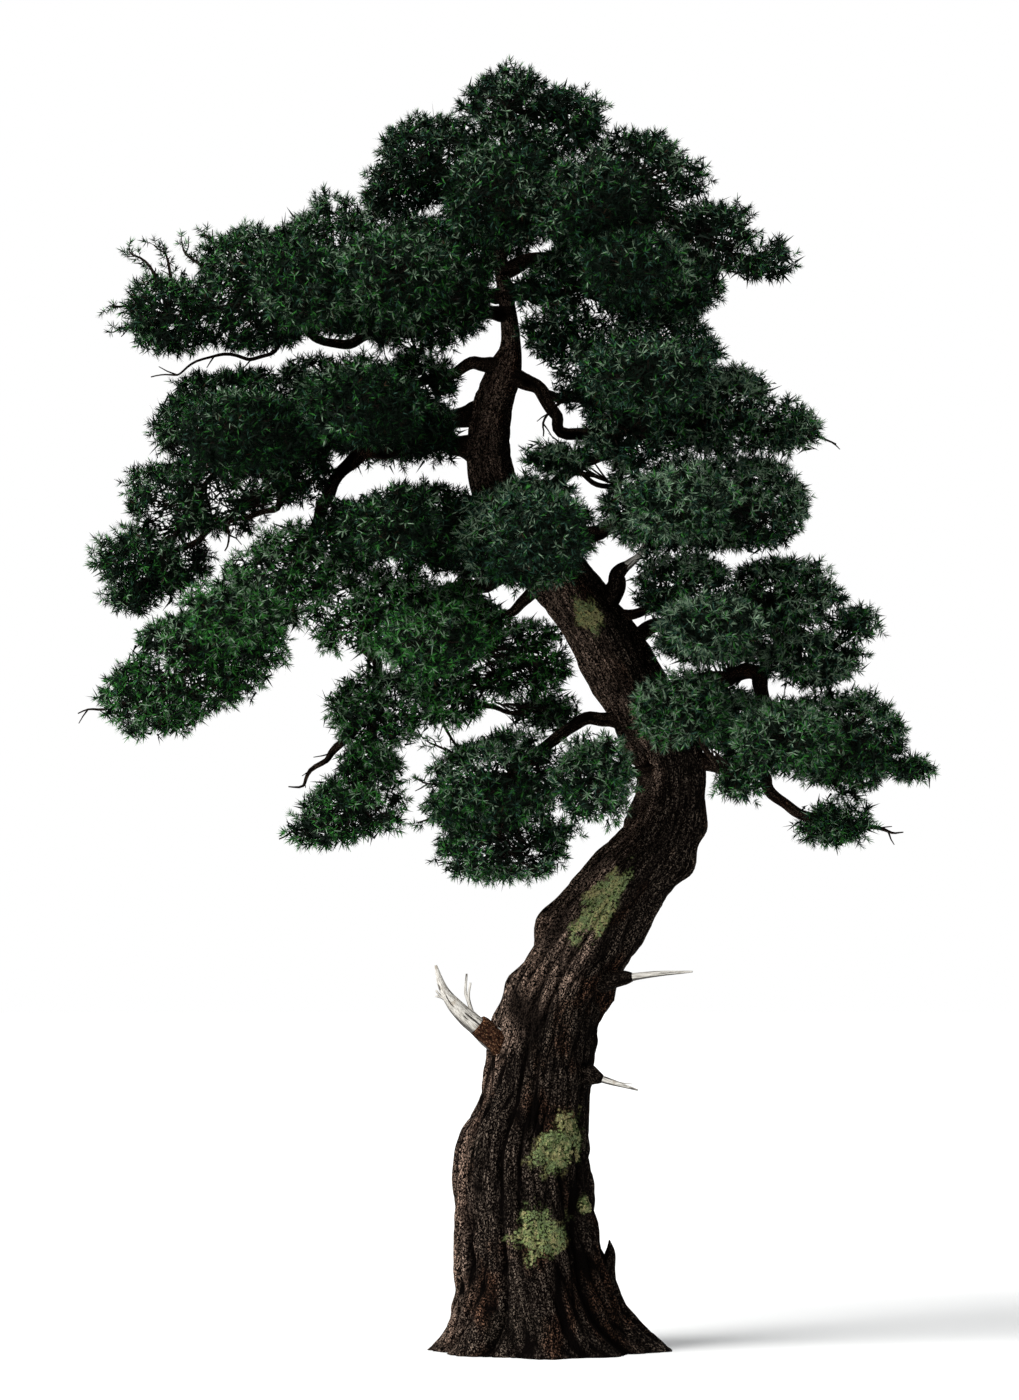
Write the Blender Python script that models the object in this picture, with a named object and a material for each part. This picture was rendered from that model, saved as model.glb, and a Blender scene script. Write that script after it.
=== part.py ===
"""An old pine, 12 m tall, with an S-shaped trunk, layered pads of foliage and weathered dead limbs.

Everything is in metres, with +Z up, +X to the right of the tree's show side and +Y away from it.
The origin is the middle of the flat cut at ground level. Each solid is one object:

    trunk            whole from the ground to its tip, flared over its roots
    bough_...        one tapering limb from the trunk to the mass of foliage that it carries
    dead_...         a barkless or broken limb that carries nothing
    mass_...         a pad of foliage: one stem, its limbs, a core and the sprays that stand out of it
"""

import math
import random

import bmesh
import bpy
import numpy as np
from mathutils import Matrix, Vector
from mathutils.bvhtree import BVHTree

# ---------------------------------------------------------------------------
# Driving dimensions
# ---------------------------------------------------------------------------
GAP = 0.0003  # between solids that meet face to face
SEED = 17

# The trunk's heartwood line: (x, y, z, radius), from the ground up through the crown to the tip.
TRUNK_KNOTS = (
    (0.04, 0.00, 0.00, 0.80),
    (-0.04, 0.00, 0.50, 0.74),
    (-0.14, 0.02, 1.20, 0.665),
    (-0.15, 0.05, 1.80, 0.635),
    (-0.04, 0.10, 2.35, 0.52),
    (0.03, 0.15, 2.85, 0.495),
    (0.16, 0.21, 3.30, 0.475),
    (0.44, 0.26, 3.82, 0.44),
    (0.74, 0.27, 4.30, 0.42),
    (1.09, 0.25, 4.77, 0.37),
    (1.23, 0.20, 5.20, 0.33),
    (1.17, 0.12, 5.62, 0.32),
    (0.89, 0.00, 6.12, 0.325),
    (0.53, -0.10, 6.72, 0.305),
    (0.12, -0.16, 7.24, 0.285),
    (-0.27, -0.14, 7.70, 0.255),
    (-0.46, -0.06, 8.20, 0.22),
    (-0.44, 0.02, 8.75, 0.195),
    (-0.33, 0.06, 9.12, 0.165),
    (-0.27, 0.07, 9.40, 0.095),
    (-0.33, 0.06, 9.90, 0.075),
    (-0.41, 0.04, 10.45, 0.062),
    (-0.36, 0.02, 11.05, 0.045),
    (-0.30, 0.00, 11.50, 0.022),
)
TRUNK_SIDES = 18
TRUNK_STEP = 0.36  # height between two rings
LEVEL_BELOW = 1.2  # the rings are level at the ground and square to the line from this height up

# The roots that swell out of the foot: (bearing in degrees from +X towards +Y, reach beyond the trunk, width).
ROOTS = (
    (0, 0.37, 26),
    (48, 0.22, 22),
    (95, 0.30, 24),
    (140, 0.18, 20),
    (182, 0.33, 26),
    (228, 0.24, 20),
    (268, 0.26, 18),
    (312, 0.28, 22),
)
ROOT_HEIGHT = 0.34  # the flare falls to a third of its reach at this height
FLUTES = 5  # shallow ribs that run up the trunk from the roots
FLUTE_DEPTH = 0.035
FLUTE_TURN = 0.35  # radians that the ribs turn per metre of height

# Boughs: name, height where it leaves the trunk, points that it passes, radius at the trunk and at the tip.
# Each goes on to the first lobe of the mass with the same name, and ends where it enters that mass.
BOUGHS = (
    ("crown_right", 10.05, ((0.35, 0.05, 10.32),), 0.062, 0.034),
    ("fan_inner", 9.66, ((-0.70, -0.20, 9.64),), 0.062, 0.040),
    ("fan_outer", 10.32, ((-0.80, 0.48, 9.68), (-1.50, 0.62, 9.48), (-2.05, 0.40, 9.44)), 0.066, 0.032),
    ("fan_back", 9.85, ((-0.75, 0.80, 9.80),), 0.062, 0.036),
    ("shelf_inner", 9.12, ((-0.60, -0.08, 9.21), (-0.88, -0.14, 9.06)), 0.062, 0.042),
    ("shelf_outer", 8.75, ((-1.15, 0.58, 8.66), (-1.95, 0.56, 8.62)), 0.092, 0.050),
    ("shelf_back", 8.05, ((-0.58, 0.55, 8.30), (-0.95, 1.00, 8.50)), 0.080, 0.044),
    ("left_low", 8.40, ((-1.02, 0.22, 8.44), (-1.72, 0.02, 8.31), (-1.99, -0.12, 7.90)), 0.092, 0.048),
    ("hanging_left", 7.45, ((-0.30, 0.55, 7.25), (-0.98, 0.62, 7.02), (-1.64, 0.45, 6.72), (-1.50, 0.22, 6.32)),
        0.085, 0.045),
    ("lower_left", 5.86, ((0.50, -0.14, 5.88), (0.30, -0.14, 5.80), (0.06, -0.14, 5.64)), 0.066, 0.046),
    ("right_fork", 9.06, ((-0.03, -0.14, 8.97), (0.14, -0.26, 8.69), (0.27, -0.34, 8.51)), 0.062, 0.050),
    ("right_fork_outer", 7.92, ((0.12, 0.48, 8.10), (0.62, 0.50, 8.36), (1.10, 0.38, 8.58)), 0.080, 0.042),
    ("right_mid", 7.70, ((0.28, 0.05, 7.58),), 0.095, 0.055),
    ("right_shelf_outer", 6.55, ((1.15, 0.55, 6.74), (1.75, 0.35, 6.76)), 0.085, 0.046),
    ("right_low", 5.95, ((1.50, 0.48, 6.20), (2.02, 0.30, 6.28)), 0.100, 0.058),
    ("right_low_tip", 5.45, ((1.96, -0.10, 5.42), (2.12, -0.20, 5.20), (2.36, -0.26, 5.06)), 0.080, 0.040),
    ("back_low", 5.75, ((1.05, 0.85, 5.80),), 0.085, 0.048),
)
BOUGH_SIDES = 5
BOUGH_STEP = 0.45  # length of a bough between two rings
COLLAR = 1.3  # a bough swells to this many times its radius where it leaves the trunk
COLLAR_LENGTH = 0.22  # and is back to its own size about this far on
SEARCH_STEP = 0.015  # fineness with which the place where it enters its mass is found
ENTRY = 0.82  # a bough ends at this share of the way out from its mass's heart to its border

# Masses of foliage: name, where its stem starts (its own bough, a height on the trunk or the trunk's tip),
# lobes, and bare twigs that stand out of it. A lobe is (x, y, z, half its width, half its depth, half its
# height), and each lobe's limb starts from the lobe before it, or from the lobe whose number comes seventh.
# A bare twig is (number of its lobe, points to its tip), with its radius at the start where it is stouter.
MASSES = (
    ("crown_tip", "tip", (
        (-0.29, 0.02, 11.60, 0.48, 0.60, 0.40),
        (0.22, -0.05, 11.43, 0.47, 0.60, 0.39),
        (-0.12, -0.25, 11.16, 0.54, 0.56, 0.32, 0)), ()),
    ("crown_left", 10.75, (
        (-0.97, 0.05, 11.06, 0.62, 0.85, 0.51),
        (-1.34, -0.10, 10.78, 0.38, 0.60, 0.32)), ()),
    ("crown_front", 10.45, (
        (-0.35, -1.00, 10.66, 0.62, 0.70, 0.56),
        (0.50, -1.40, 10.56, 0.55, 0.65, 0.54)), ()),
    ("crown_back", 10.60, (
        (-0.35, 1.05, 10.70, 0.66, 0.72, 0.54),
        (0.60, 1.45, 10.55, 0.60, 0.68, 0.52),
        (1.10, 2.05, 10.00, 0.60, 0.62, 0.42)), ()),
    ("crown_right", "bough", (
        (0.87, 0.00, 10.86, 0.74, 0.90, 0.57),
        (1.55, -0.05, 10.35, 0.52, 0.78, 0.44),
        (2.03, -0.05, 10.13, 0.42, 0.48, 0.21)), ()),
    ("crown_low", 9.85, (
        (0.36, -0.55, 9.90, 0.56, 0.62, 0.46),
        (1.08, -0.60, 9.89, 0.62, 0.75, 0.38),
        (0.85, -1.70, 10.00, 0.56, 0.60, 0.38),
        (-0.08, -0.45, 9.85, 0.27, 0.32, 0.17, 0)), ()),
    ("fan_inner", "bough", (
        (-1.10, -0.32, 9.90, 0.78, 0.90, 0.74),
        (-1.92, -0.38, 10.03, 0.76, 0.88, 0.72),
        (-1.30, -1.62, 9.92, 0.66, 0.66, 0.52, 0),
        (-2.15, -1.62, 9.86, 0.54, 0.60, 0.48, 1)), ()),
    ("fan_outer", "bough", (
        (-2.61, 0.10, 9.88, 0.74, 0.95, 0.69),
        (-3.42, 0.05, 9.63, 0.50, 0.70, 0.47)), (
            (0, ((-2.46, 0.10, 9.32), (-3.08, 0.12, 9.25), (-3.34, 0.12, 9.13), (-3.63, 0.10, 9.07))),
            (1, ((-3.98, 0.00, 9.48),)),
            (1, ((-3.85, 0.05, 9.74), (-4.02, 0.05, 9.73))),
            (1, ((-3.66, 0.08, 10.08), (-3.84, 0.10, 10.26))),
            (1, ((-3.48, 0.05, 10.12), (-3.60, 0.05, 10.30))),
            (0, ((-3.20, 0.05, 10.10), (-3.34, 0.05, 10.34))),
            (0, ((-3.00, 0.10, 10.26), (-3.14, 0.12, 10.42))))),
    ("fan_back", "bough", (
        (-1.15, 1.50, 10.02, 0.75, 0.78, 0.56),
        (-1.95, 1.55, 9.92, 0.55, 0.62, 0.48),
        (-1.55, 2.45, 9.85, 0.58, 0.55, 0.42, 0)), ()),
    ("shelf_inner", "bough", (
        (-1.14, -0.20, 9.00, 0.45, 0.60, 0.33),
        (-1.60, -0.40, 8.80, 0.68, 0.90, 0.49),
        (-1.08, -0.44, 8.57, 0.40, 0.60, 0.38),
        (-1.62, -1.72, 8.72, 0.62, 0.64, 0.42, 1)), ()),
    ("shelf_outer", "bough", (
        (-2.76, 0.20, 8.61, 0.97, 1.05, 0.60),
        (-3.20, 0.10, 7.96, 0.73, 0.90, 0.49),
        (-3.62, 0.10, 7.34, 0.64, 0.68, 0.41),
        (-2.29, -0.10, 8.19, 0.42, 0.55, 0.40),
        (-2.72, -1.32, 8.50, 0.66, 0.58, 0.44, 0),
        (-2.72, 1.72, 8.55, 0.66, 0.60, 0.44, 0),
        (-2.14, -0.02, 8.92, 0.44, 0.52, 0.39, 0),
        (-3.80, 0.05, 7.03, 0.34, 0.40, 0.17, 2)), (
            (3, ((-2.42, -0.20, 7.90), (-2.64, -0.20, 7.79), (-2.87, -0.20, 7.68), (-2.86, -0.20, 7.58),
                (-2.93, -0.20, 7.44)), 0.045),)),
    ("shelf_back", "bough", (
        (-1.52, 1.70, 8.72, 0.72, 0.80, 0.46),
        (-1.45, 2.70, 8.62, 0.55, 0.50, 0.38, 0)), ()),
    ("left_low", "bough", (
        (-2.32, -0.40, 7.19, 0.58, 0.72, 0.54),
        (-3.10, -0.30, 6.55, 0.80, 0.72, 0.39),
        (-3.53, -0.15, 6.11, 0.60, 0.60, 0.49),
        (-2.94, -0.25, 6.28, 0.43, 0.55, 0.34),
        (-2.75, -1.35, 6.88, 0.54, 0.52, 0.40, 0),
        (-2.92, 0.82, 6.75, 0.56, 0.52, 0.38, 1)), (
            (2, ((-4.02, -0.10, 6.00), (-4.30, -0.10, 5.93))),)),
    ("centre_left", 7.95, (
        (-1.02, -0.50, 7.67, 0.52, 0.70, 0.50),
        (-1.76, -0.55, 7.57, 0.46, 0.60, 0.39),
        (-1.35, -1.62, 7.66, 0.50, 0.54, 0.40, 0)), ()),
    ("centre_low", 7.25, (
        (-0.68, -0.02, 6.73, 0.45, 0.56, 0.43),
        (-1.43, -0.32, 6.85, 0.84, 0.70, 0.50),
        (-0.10, 0.10, 6.41, 0.46, 0.52, 0.47),
        (-0.94, -0.15, 6.12, 0.52, 0.58, 0.42),
        (0.06, 0.38, 5.96, 0.36, 0.36, 0.24),
        (-0.98, -1.30, 6.60, 0.56, 0.52, 0.42, 1)), (
            (3, ((-0.88, -0.15, 5.74), (-0.69, -0.15, 5.54))),)),
    ("front_centre", 7.60, (
        (-0.14, -1.12, 7.56, 0.66, 0.70, 0.60),
        (0.00, -2.05, 7.58, 0.50, 0.52, 0.42)), ()),
    ("hanging_left", "bough", (
        (-1.53, -0.05, 5.95, 0.55, 0.60, 0.49),
        (-1.58, -0.10, 5.42, 0.37, 0.47, 0.30),
        (-1.74, -0.10, 5.02, 0.55, 0.56, 0.38),
        (-2.11, -0.10, 4.85, 0.30, 0.34, 0.18, 2)), (
            (0, ((-1.88, -0.15, 5.66), (-1.98, -0.15, 5.47), (-2.11, -0.15, 5.39), (-2.21, -0.15, 5.26), (-2.34, -0.15, 5.25)),
                0.060),
            (2, ((-2.43, -0.05, 4.76),)))),
    ("lower_left", "bough", (
        (-0.34, -0.12, 5.29, 0.73, 0.80, 0.54),
        (-0.40, 0.00, 4.65, 0.70, 0.66, 0.36),
        (-0.42, 1.00, 5.05, 0.50, 0.50, 0.36, 0),
        (-0.87, -0.08, 5.07, 0.25, 0.40, 0.23, 0),
        (0.08, -0.05, 4.80, 0.28, 0.34, 0.20, 1)), (
            (0, ((-0.95, -0.10, 5.28), (-1.17, -0.10, 5.33))),
            (0, ((-0.92, -0.05, 4.98), (-1.15, -0.05, 4.91))),
            (0, ((-0.86, -0.15, 5.56), (-1.06, -0.15, 5.68))))),
    ("lower_inner", 5.60, (
        (0.50, -0.62, 5.32, 0.43, 0.58, 0.51),), ()),
    ("right_fork", "bough", (
        (0.84, -0.45, 8.55, 0.52, 0.78, 0.42),
        (0.95, -0.35, 9.29, 0.78, 0.85, 0.46),
        (0.22, -0.27, 9.43, 0.46, 0.52, 0.34),
        (0.98, -1.72, 9.02, 0.64, 0.62, 0.42, 1),
        (0.45, -0.38, 8.98, 0.42, 0.50, 0.31, 1)), (
            (4, ((0.18, -0.36, 8.84), (0.07, -0.34, 8.68), (0.03, -0.32, 8.50))),)),
    ("right_fork_outer", "bough", (
        (1.73, 0.15, 8.74, 0.68, 0.85, 0.51),
        (2.31, 0.00, 8.58, 0.39, 0.45, 0.31)), (
            (1, ((2.76, 0.00, 8.44),)),)),
    ("fork_back", 9.12, (
        (0.98, 1.45, 9.00, 0.64, 0.76, 0.48),
        (1.25, 2.45, 8.88, 0.55, 0.55, 0.40)), ()),
    ("right_mid", "bough", (
        (1.14, -0.25, 7.85, 0.62, 0.95, 0.56),
        (1.90, 0.00, 7.88, 0.67, 0.88, 0.55),
        (0.17, -0.75, 8.28, 0.40, 0.42, 0.21, 0),
        (1.25, -1.62, 7.82, 0.58, 0.58, 0.42, 0),
        (1.55, 1.35, 7.85, 0.60, 0.60, 0.42, 1)), ()),
    ("mid_back", 7.65, (
        (-0.02, 1.35, 7.72, 0.50, 0.80, 0.47),
        (-0.62, 1.40, 7.55, 0.56, 0.66, 0.42),
        (0.05, 2.38, 7.68, 0.60, 0.52, 0.42, 0),
        (-0.90, 1.68, 6.72, 0.64, 0.66, 0.40, 1),
        (-1.48, 1.50, 7.68, 0.60, 0.62, 0.36, 1)), ()),
    ("right_shelf", 6.80, (
        (1.33, -0.30, 7.10, 0.57, 0.68, 0.44),
        (1.50, -0.50, 6.60, 0.54, 0.60, 0.27),
        (1.58, -1.52, 6.72, 0.52, 0.52, 0.36, 0)), ()),
    ("right_shelf_outer", "bough", (
        (2.24, 0.10, 7.01, 0.65, 0.82, 0.45),
        (2.56, 0.10, 6.44, 0.56, 0.75, 0.34),
        (2.95, 0.05, 6.76, 0.28, 0.40, 0.18)), ()),
    ("right_low", "bough", (
        (2.14, 0.05, 5.73, 0.70, 0.90, 0.42),
        (2.82, 0.05, 5.66, 0.66, 0.75, 0.61),
        (3.46, 0.05, 5.41, 0.27, 0.38, 0.15),
        (2.25, -1.30, 5.70, 0.55, 0.54, 0.38, 0),
        (2.80, 1.18, 5.60, 0.50, 0.46, 0.36, 1)), ()),
    ("right_low_front", 6.05, (
        (1.32, -0.95, 5.96, 0.52, 0.55, 0.42),
        (1.82, -0.74, 5.28, 0.26, 0.34, 0.18)), ()),
    ("right_low_tip", "bough", (
        (2.68, -0.30, 4.90, 0.42, 0.48, 0.25),), (
            (0, ((3.12, -0.30, 4.87), (3.37, -0.30, 4.83)), 0.036),)),
    ("back_low", "bough", (
        (1.62, 1.50, 5.92, 0.58, 0.74, 0.42),
        (1.95, 1.50, 6.72, 0.56, 0.65, 0.38)), ()),
)
UNDERSIDE = 0.92  # a lobe hangs below its heart by this share of its height above it
CORE_SHARE = 0.93  # the core's size beside its lobe
CORE_SIDES = 6
CORE_ROWS = 4
CORE_LUMPS = (0.92, 1.06)
SHRINK_STEPS = (1.0, 0.95, 0.9, 0.85, 0.8, 0.75, 0.7, 0.6, 0.5)  # sizes tried for a core that touches a limb
SPRAY_ROOT = 0.72  # where a spray starts and ends, as shares of the way from the heart to the border
SPRAY_TIP = 1.06
SPRAYS = 3  # directions tried round each lobe
SPRAY_SPAN = 1.7  # how far they spread round it: 2 would reach right round to its inner side
SPRAY_LIFT = 0.3  # least slope of the first of them
SPRAY_WIDTH = 0.50  # of the lobe's half width
SPRAY_THICKNESS = 0.05  # of the spray's length
SPRAY_MIDDLE = 0.48  # where it is thickest
SPRAY_TOOTH = ((0.70, 0.50), (0.66, 0.20))  # a tooth and the notch beyond it: along and beside the spray
SPRAY_ROLL = 0.6  # radians
HIDDEN = 0.92  # a spray whose tip is deeper than this in a sister lobe is left out
CLEARANCE = 0.05  # of a lobe's size, kept to the space of the masses round it
CORE_STEP = 0.04  # of a lobe's size, by which a core draws back from that space
TWIG_RADIUS = 0.026
TWIG_TIP_RADIUS = 0.009
HEART_RADIUS = 0.03  # of the limbs inside a mass, from heart to heart
STEM_RADIUS = 0.045  # of a stem that starts from the trunk
STEM_SIDES = 5
STEM_FOOT = 0.03  # length of a stem before it turns towards its heart
TWIG_SIDES = 3

# Dead limbs that carry nothing: name, points from inside the trunk to the tip, radius at the trunk and at the
# tip, then the side shoots, each from one of those points (by number) to its own tip.
DEAD_LIMBS = (
    ("left", ((-0.20, 0.00, 2.72), (-0.59, -0.10, 3.03), (-0.78, -0.14, 3.21), (-0.90, -0.16, 3.37),
        (-0.97, -0.16, 3.59)), 0.100, 0.012, ((1, (-0.685, -0.12, 3.50)), (2, (-0.97, -0.10, 3.30)))),
    ("right_high", ((0.35, 0.10, 3.42), (0.80, -0.06, 3.47), (1.12, -0.10, 3.51), (1.42, -0.12, 3.53)),
        0.085, 0.010, ()),
    ("right_low", ((0.25, 0.05, 2.62), (0.54, -0.10, 2.54), (0.91, -0.16, 2.43)), 0.070, 0.012, ()),
    ("upper", ((0.45, -0.10, 6.80), (0.69, -0.20, 7.07), (0.72, -0.24, 7.23), (0.84, -0.26, 7.33),
        (0.92, -0.27, 7.40), (0.98, -0.28, 7.56)), 0.084, 0.008, ()),
)
DEAD_SIDES = 6
SHOOT_SHARE = 0.6  # a side shoot's thickness beside its limb's

BARK_COLOUR = (0.075, 0.055, 0.042)
DEAD_WOOD_COLOUR = (0.36, 0.33, 0.29)
NEEDLE_COLOUR = (0.030, 0.055, 0.028)
ROUGHNESS = 0.9


# ---------------------------------------------------------------------------
# Lines, tubes and meshes
# ---------------------------------------------------------------------------
def smooth_line(knots, step):
    """Rows read every `step` metres or so along a smooth curve through knots that start with x, y, z."""
    knots = np.array(knots, dtype=float)
    before = 2 * knots[0] - knots[1]
    after = 2 * knots[-1] - knots[-2]
    rows = np.vstack([before, knots, after])
    line = []
    for a, b, c, d in zip(rows, rows[1:], rows[2:], rows[3:]):
        pieces = max(1, round(np.linalg.norm((c - b)[:3]) / step))
        for t in np.arange(pieces) / pieces:
            bend = (2 * a - 5 * b + 4 * c - d) * t**2
            twist = (3 * (b - c) + d - a) * t**3
            line.append((2 * b + (c - a) * t + bend + twist) / 2)
    line.append(knots[-1])
    return np.array(line)


def at_height(line, z):
    """The row of an upright line at height z."""
    return np.array([np.interp(z, line[:, 2], line[:, column]) for column in range(line.shape[1])])


def new_mesh(rings):
    """A closed mesh through rings of points, with a flat cap at each end."""
    bm = bmesh.new()
    loops = [[bm.verts.new(point) for point in ring] for ring in rings]
    for low, high in zip(loops, loops[1:]):
        for i in range(len(low)):
            j = (i + 1) % len(low)
            bm.faces.new((low[i], low[j], high[j]))
            bm.faces.new((low[i], high[j], high[i]))
    bm.faces.new(loops[0][::-1])
    bm.faces.new(loops[-1])
    return bm


def tube(points, radii, sides):
    """A tube of flat-sided rings square to its line."""
    points = [Vector(point) for point in points]
    across = None
    rings = []
    for i, point in enumerate(points):
        along = (points[min(i + 1, len(points) - 1)] - points[max(i - 1, 0)]).normalized()
        if across is None:
            across = along.orthogonal()
        across = (across - along * across.dot(along)).normalized()
        beside = along.cross(across)
        turns = [math.tau * side / sides for side in range(sides)]
        rings.append([point + (across * math.cos(turn) + beside * math.sin(turn)) * radii[i] for turn in turns])
    return new_mesh(rings)


def add_object(name, bm, material):
    """Turn a bmesh into an object in the scene's own collection."""
    bmesh.ops.recalc_face_normals(bm, faces=bm.faces)
    mesh = bpy.data.meshes.new(name)
    bm.to_mesh(mesh)
    bm.free()
    if material:
        mesh.materials.append(material)
    solid = bpy.data.objects.new(name, mesh)
    bpy.context.scene.collection.objects.link(solid)
    return solid


def apply_boolean(solid, operation, cutter=None, collection=None):
    """Join or cut a solid with one other object or with all the objects of a collection."""
    boolean = solid.modifiers.new("boolean", "BOOLEAN")
    boolean.operation = operation
    boolean.solver = "EXACT"
    if collection:
        boolean.operand_type = "COLLECTION"
        boolean.collection = collection
    else:
        boolean.object = cutter
    evaluated = solid.evaluated_get(bpy.context.evaluated_depsgraph_get())
    result = bpy.data.meshes.new_from_object(evaluated)
    solid.modifiers.remove(boolean)
    solid.data = result


def keep_largest_body(solid):
    """Drop loose scraps and fill sealed hollows: only the shell with the largest volume stays."""
    bm = bmesh.new()
    bm.from_mesh(solid.data)
    bmesh.ops.triangulate(bm, faces=bm.faces)
    unseen = set(bm.faces)
    shells = []
    while unseen:
        shell = [unseen.pop()]
        for face in shell:
            for edge in face.edges:
                for other in edge.link_faces:
                    if other in unseen:
                        unseen.discard(other)
                        shell.append(other)
        corners = [[loop.vert.co for loop in face.loops] for face in shell]
        shells.append((sum(a.dot(b.cross(c)) for a, b, c in corners), shell))
    shells.sort(key=lambda item: item[0])
    for volume, shell in shells[:-1]:
        bmesh.ops.delete(bm, geom=shell, context="FACES")
    loose = [vert for vert in bm.verts if not vert.link_faces]
    bmesh.ops.delete(bm, geom=loose, context="VERTS")
    bm.to_mesh(solid.data)
    bm.free()


def surface_of(solid):
    """A tree of the object's faces, for tests of what touches it."""
    bm = bmesh.new()
    bm.from_mesh(solid.data)
    tree = BVHTree.FromBMesh(bm)
    bm.free()
    return tree


def touches(bm, surfaces):
    tree = BVHTree.FromBMesh(bm)
    return any(tree.overlap(surface) for surface in surfaces)


def plain_material(name, colour):
    material = bpy.data.materials.new(name)
    material.use_nodes = True
    shader = material.node_tree.nodes["Principled BSDF"]
    shader.inputs["Base Color"].default_value = (*colour, 1.0)
    shader.inputs["Roughness"].default_value = ROUGHNESS
    shader.inputs["Metallic"].default_value = 0.0
    return material


# ---------------------------------------------------------------------------
# Trunk
# ---------------------------------------------------------------------------
def root_flare(bearing, z):
    """How far the roots push the trunk's side out at a height."""
    reach = 0.0
    for root, out, width in ROOTS:
        away = (bearing - math.radians(root) + math.pi) % math.tau - math.pi
        reach += out * math.exp(-((away / math.radians(width)) ** 2))
    return reach * math.exp(-z / ROOT_HEIGHT)


def trunk_side(bearing, z, radius):
    """Distance from the heartwood line to the trunk's side, with its flare and its ribs."""
    ribs = 1 + FLUTE_DEPTH * math.cos(FLUTES * (bearing + FLUTE_TURN * z))
    return radius * ribs + root_flare(bearing, z)


def trunk_rings(line, grown):
    """Rings round the heartwood line: level at the ground, and square to the line above the flare."""
    rings = []
    slopes = np.gradient(line[:, :3], axis=0)
    for (x, y, z, radius), slope in zip(line, slopes):
        lean = min(1.0, z / LEVEL_BELOW) ** 2
        up = Vector((0, 0, 1)).lerp(Vector(slope).normalized(), lean).normalized()
        right = Vector((1, 0, 0))
        right = (right - up * right.dot(up)).normalized()
        away = up.cross(right)
        ring = []
        for side in range(TRUNK_SIDES):
            bearing = math.tau * side / TRUNK_SIDES
            reach = trunk_side(bearing, z, radius) + grown
            ring.append(Vector((x, y, z)) + (right * math.cos(bearing) + away * math.sin(bearing)) * reach)
        rings.append(ring)
    return rings


def make_trunk(line, material):
    return add_object("trunk", new_mesh(trunk_rings(line, 0.0)), material)


def make_trunk_cutter(line):
    """The trunk's shape, grown by the gap that its neighbours keep."""
    rings = trunk_rings(line, GAP * 1.5)
    rings[0] = [point - Vector((0, 0, GAP)) for point in rings[0]]
    rings[-1] = [point + Vector((0, 0, GAP)) for point in rings[-1]]
    cutter = add_object("trunk_cutter", new_mesh(rings), None)
    cutter.hide_render = True
    cutter.display_type = "WIRE"
    return cutter


# ---------------------------------------------------------------------------
# The space of each mass
# ---------------------------------------------------------------------------
def lobe_values(points, lobe):
    """Each point's share of the way from the lobe's heart (0) to its border (1)."""
    x, y, z, half_width, half_depth, half_height = lobe[:6]
    away = np.atleast_2d(points) - (x, y, z)
    height = np.where(away[:, 2] > 0, half_height, half_height * UNDERSIDE)
    return np.sqrt((away[:, 0] / half_width) ** 2 + (away[:, 1] / half_depth) ** 2 + (away[:, 2] / height) ** 2)


def mass_values(points, lobes):
    return np.min([lobe_values(points, lobe) for lobe in lobes], axis=0)


def other_values(points, name):
    """Each point's share of the way out from the nearest of the other masses."""
    return np.min([mass_values(points, lobes) for other, _, lobes, _ in MASSES if other != name], axis=0)


def border_point(lobe, ray, share):
    """The point at a share of the way from a lobe's heart to its border, along a ray in a round lobe."""
    height = lobe[5] * (1 if ray[2] > 0 else UNDERSIDE)
    return np.array(lobe[:3]) + np.array(ray) * (lobe[3], lobe[4], height) * share


# ---------------------------------------------------------------------------
# Boughs and dead limbs
# ---------------------------------------------------------------------------
def bough_line(name, height, via, trunk_line, lobes):
    """The points of a bough from inside the trunk to where it enters its mass."""
    start = at_height(trunk_line, height)[:3]
    line = smooth_line((start, *via, lobes[0][:3]), BOUGH_STEP)
    fine = smooth_line((start, *via, lobes[0][:3]), SEARCH_STEP)
    entered = fine[mass_values(fine, lobes) < ENTRY][0]
    outside = [point for point in line if mass_values(point, lobes)[0] > ENTRY]
    if np.linalg.norm(outside[-1] - entered) < BOUGH_STEP / 3:
        outside.pop()
    return np.array([*outside, entered])


def make_bough(name, height, line, trunk_line, radii, cutter, material):
    start_radius, tip_radius = radii
    trunk_radius = at_height(trunk_line, height)[3]
    travelled = np.concatenate([[0], np.cumsum(np.linalg.norm(np.diff(line, axis=0), axis=1))])
    outside = np.maximum(0, travelled - trunk_radius)
    taper = start_radius + (tip_radius - start_radius) * travelled / travelled[-1]
    collar = 1 + (COLLAR - 1) * np.exp(-outside / COLLAR_LENGTH)
    collar[-1] = 1.0
    bough = add_object("bough_" + name, tube(line, taper * collar, BOUGH_SIDES), material)
    apply_boolean(bough, "DIFFERENCE", cutter=cutter)
    keep_largest_body(bough)
    return bough


def make_dead_limb(name, points, radii, shoots, cutter, material):
    limb_radii = np.linspace(*radii, len(points))
    limb = add_object("dead_" + name, tube(points, limb_radii, DEAD_SIDES), material)
    for start, tip in shoots:
        shoot_radii = (limb_radii[start] * SHOOT_SHARE, radii[1])
        shoot = add_object("shoot", tube((points[start], tip), shoot_radii, DEAD_SIDES - 1), material)
        apply_boolean(limb, "UNION", cutter=shoot)
        bpy.data.objects.remove(shoot)
    apply_boolean(limb, "DIFFERENCE", cutter=cutter)
    keep_largest_body(limb)
    return limb


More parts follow.
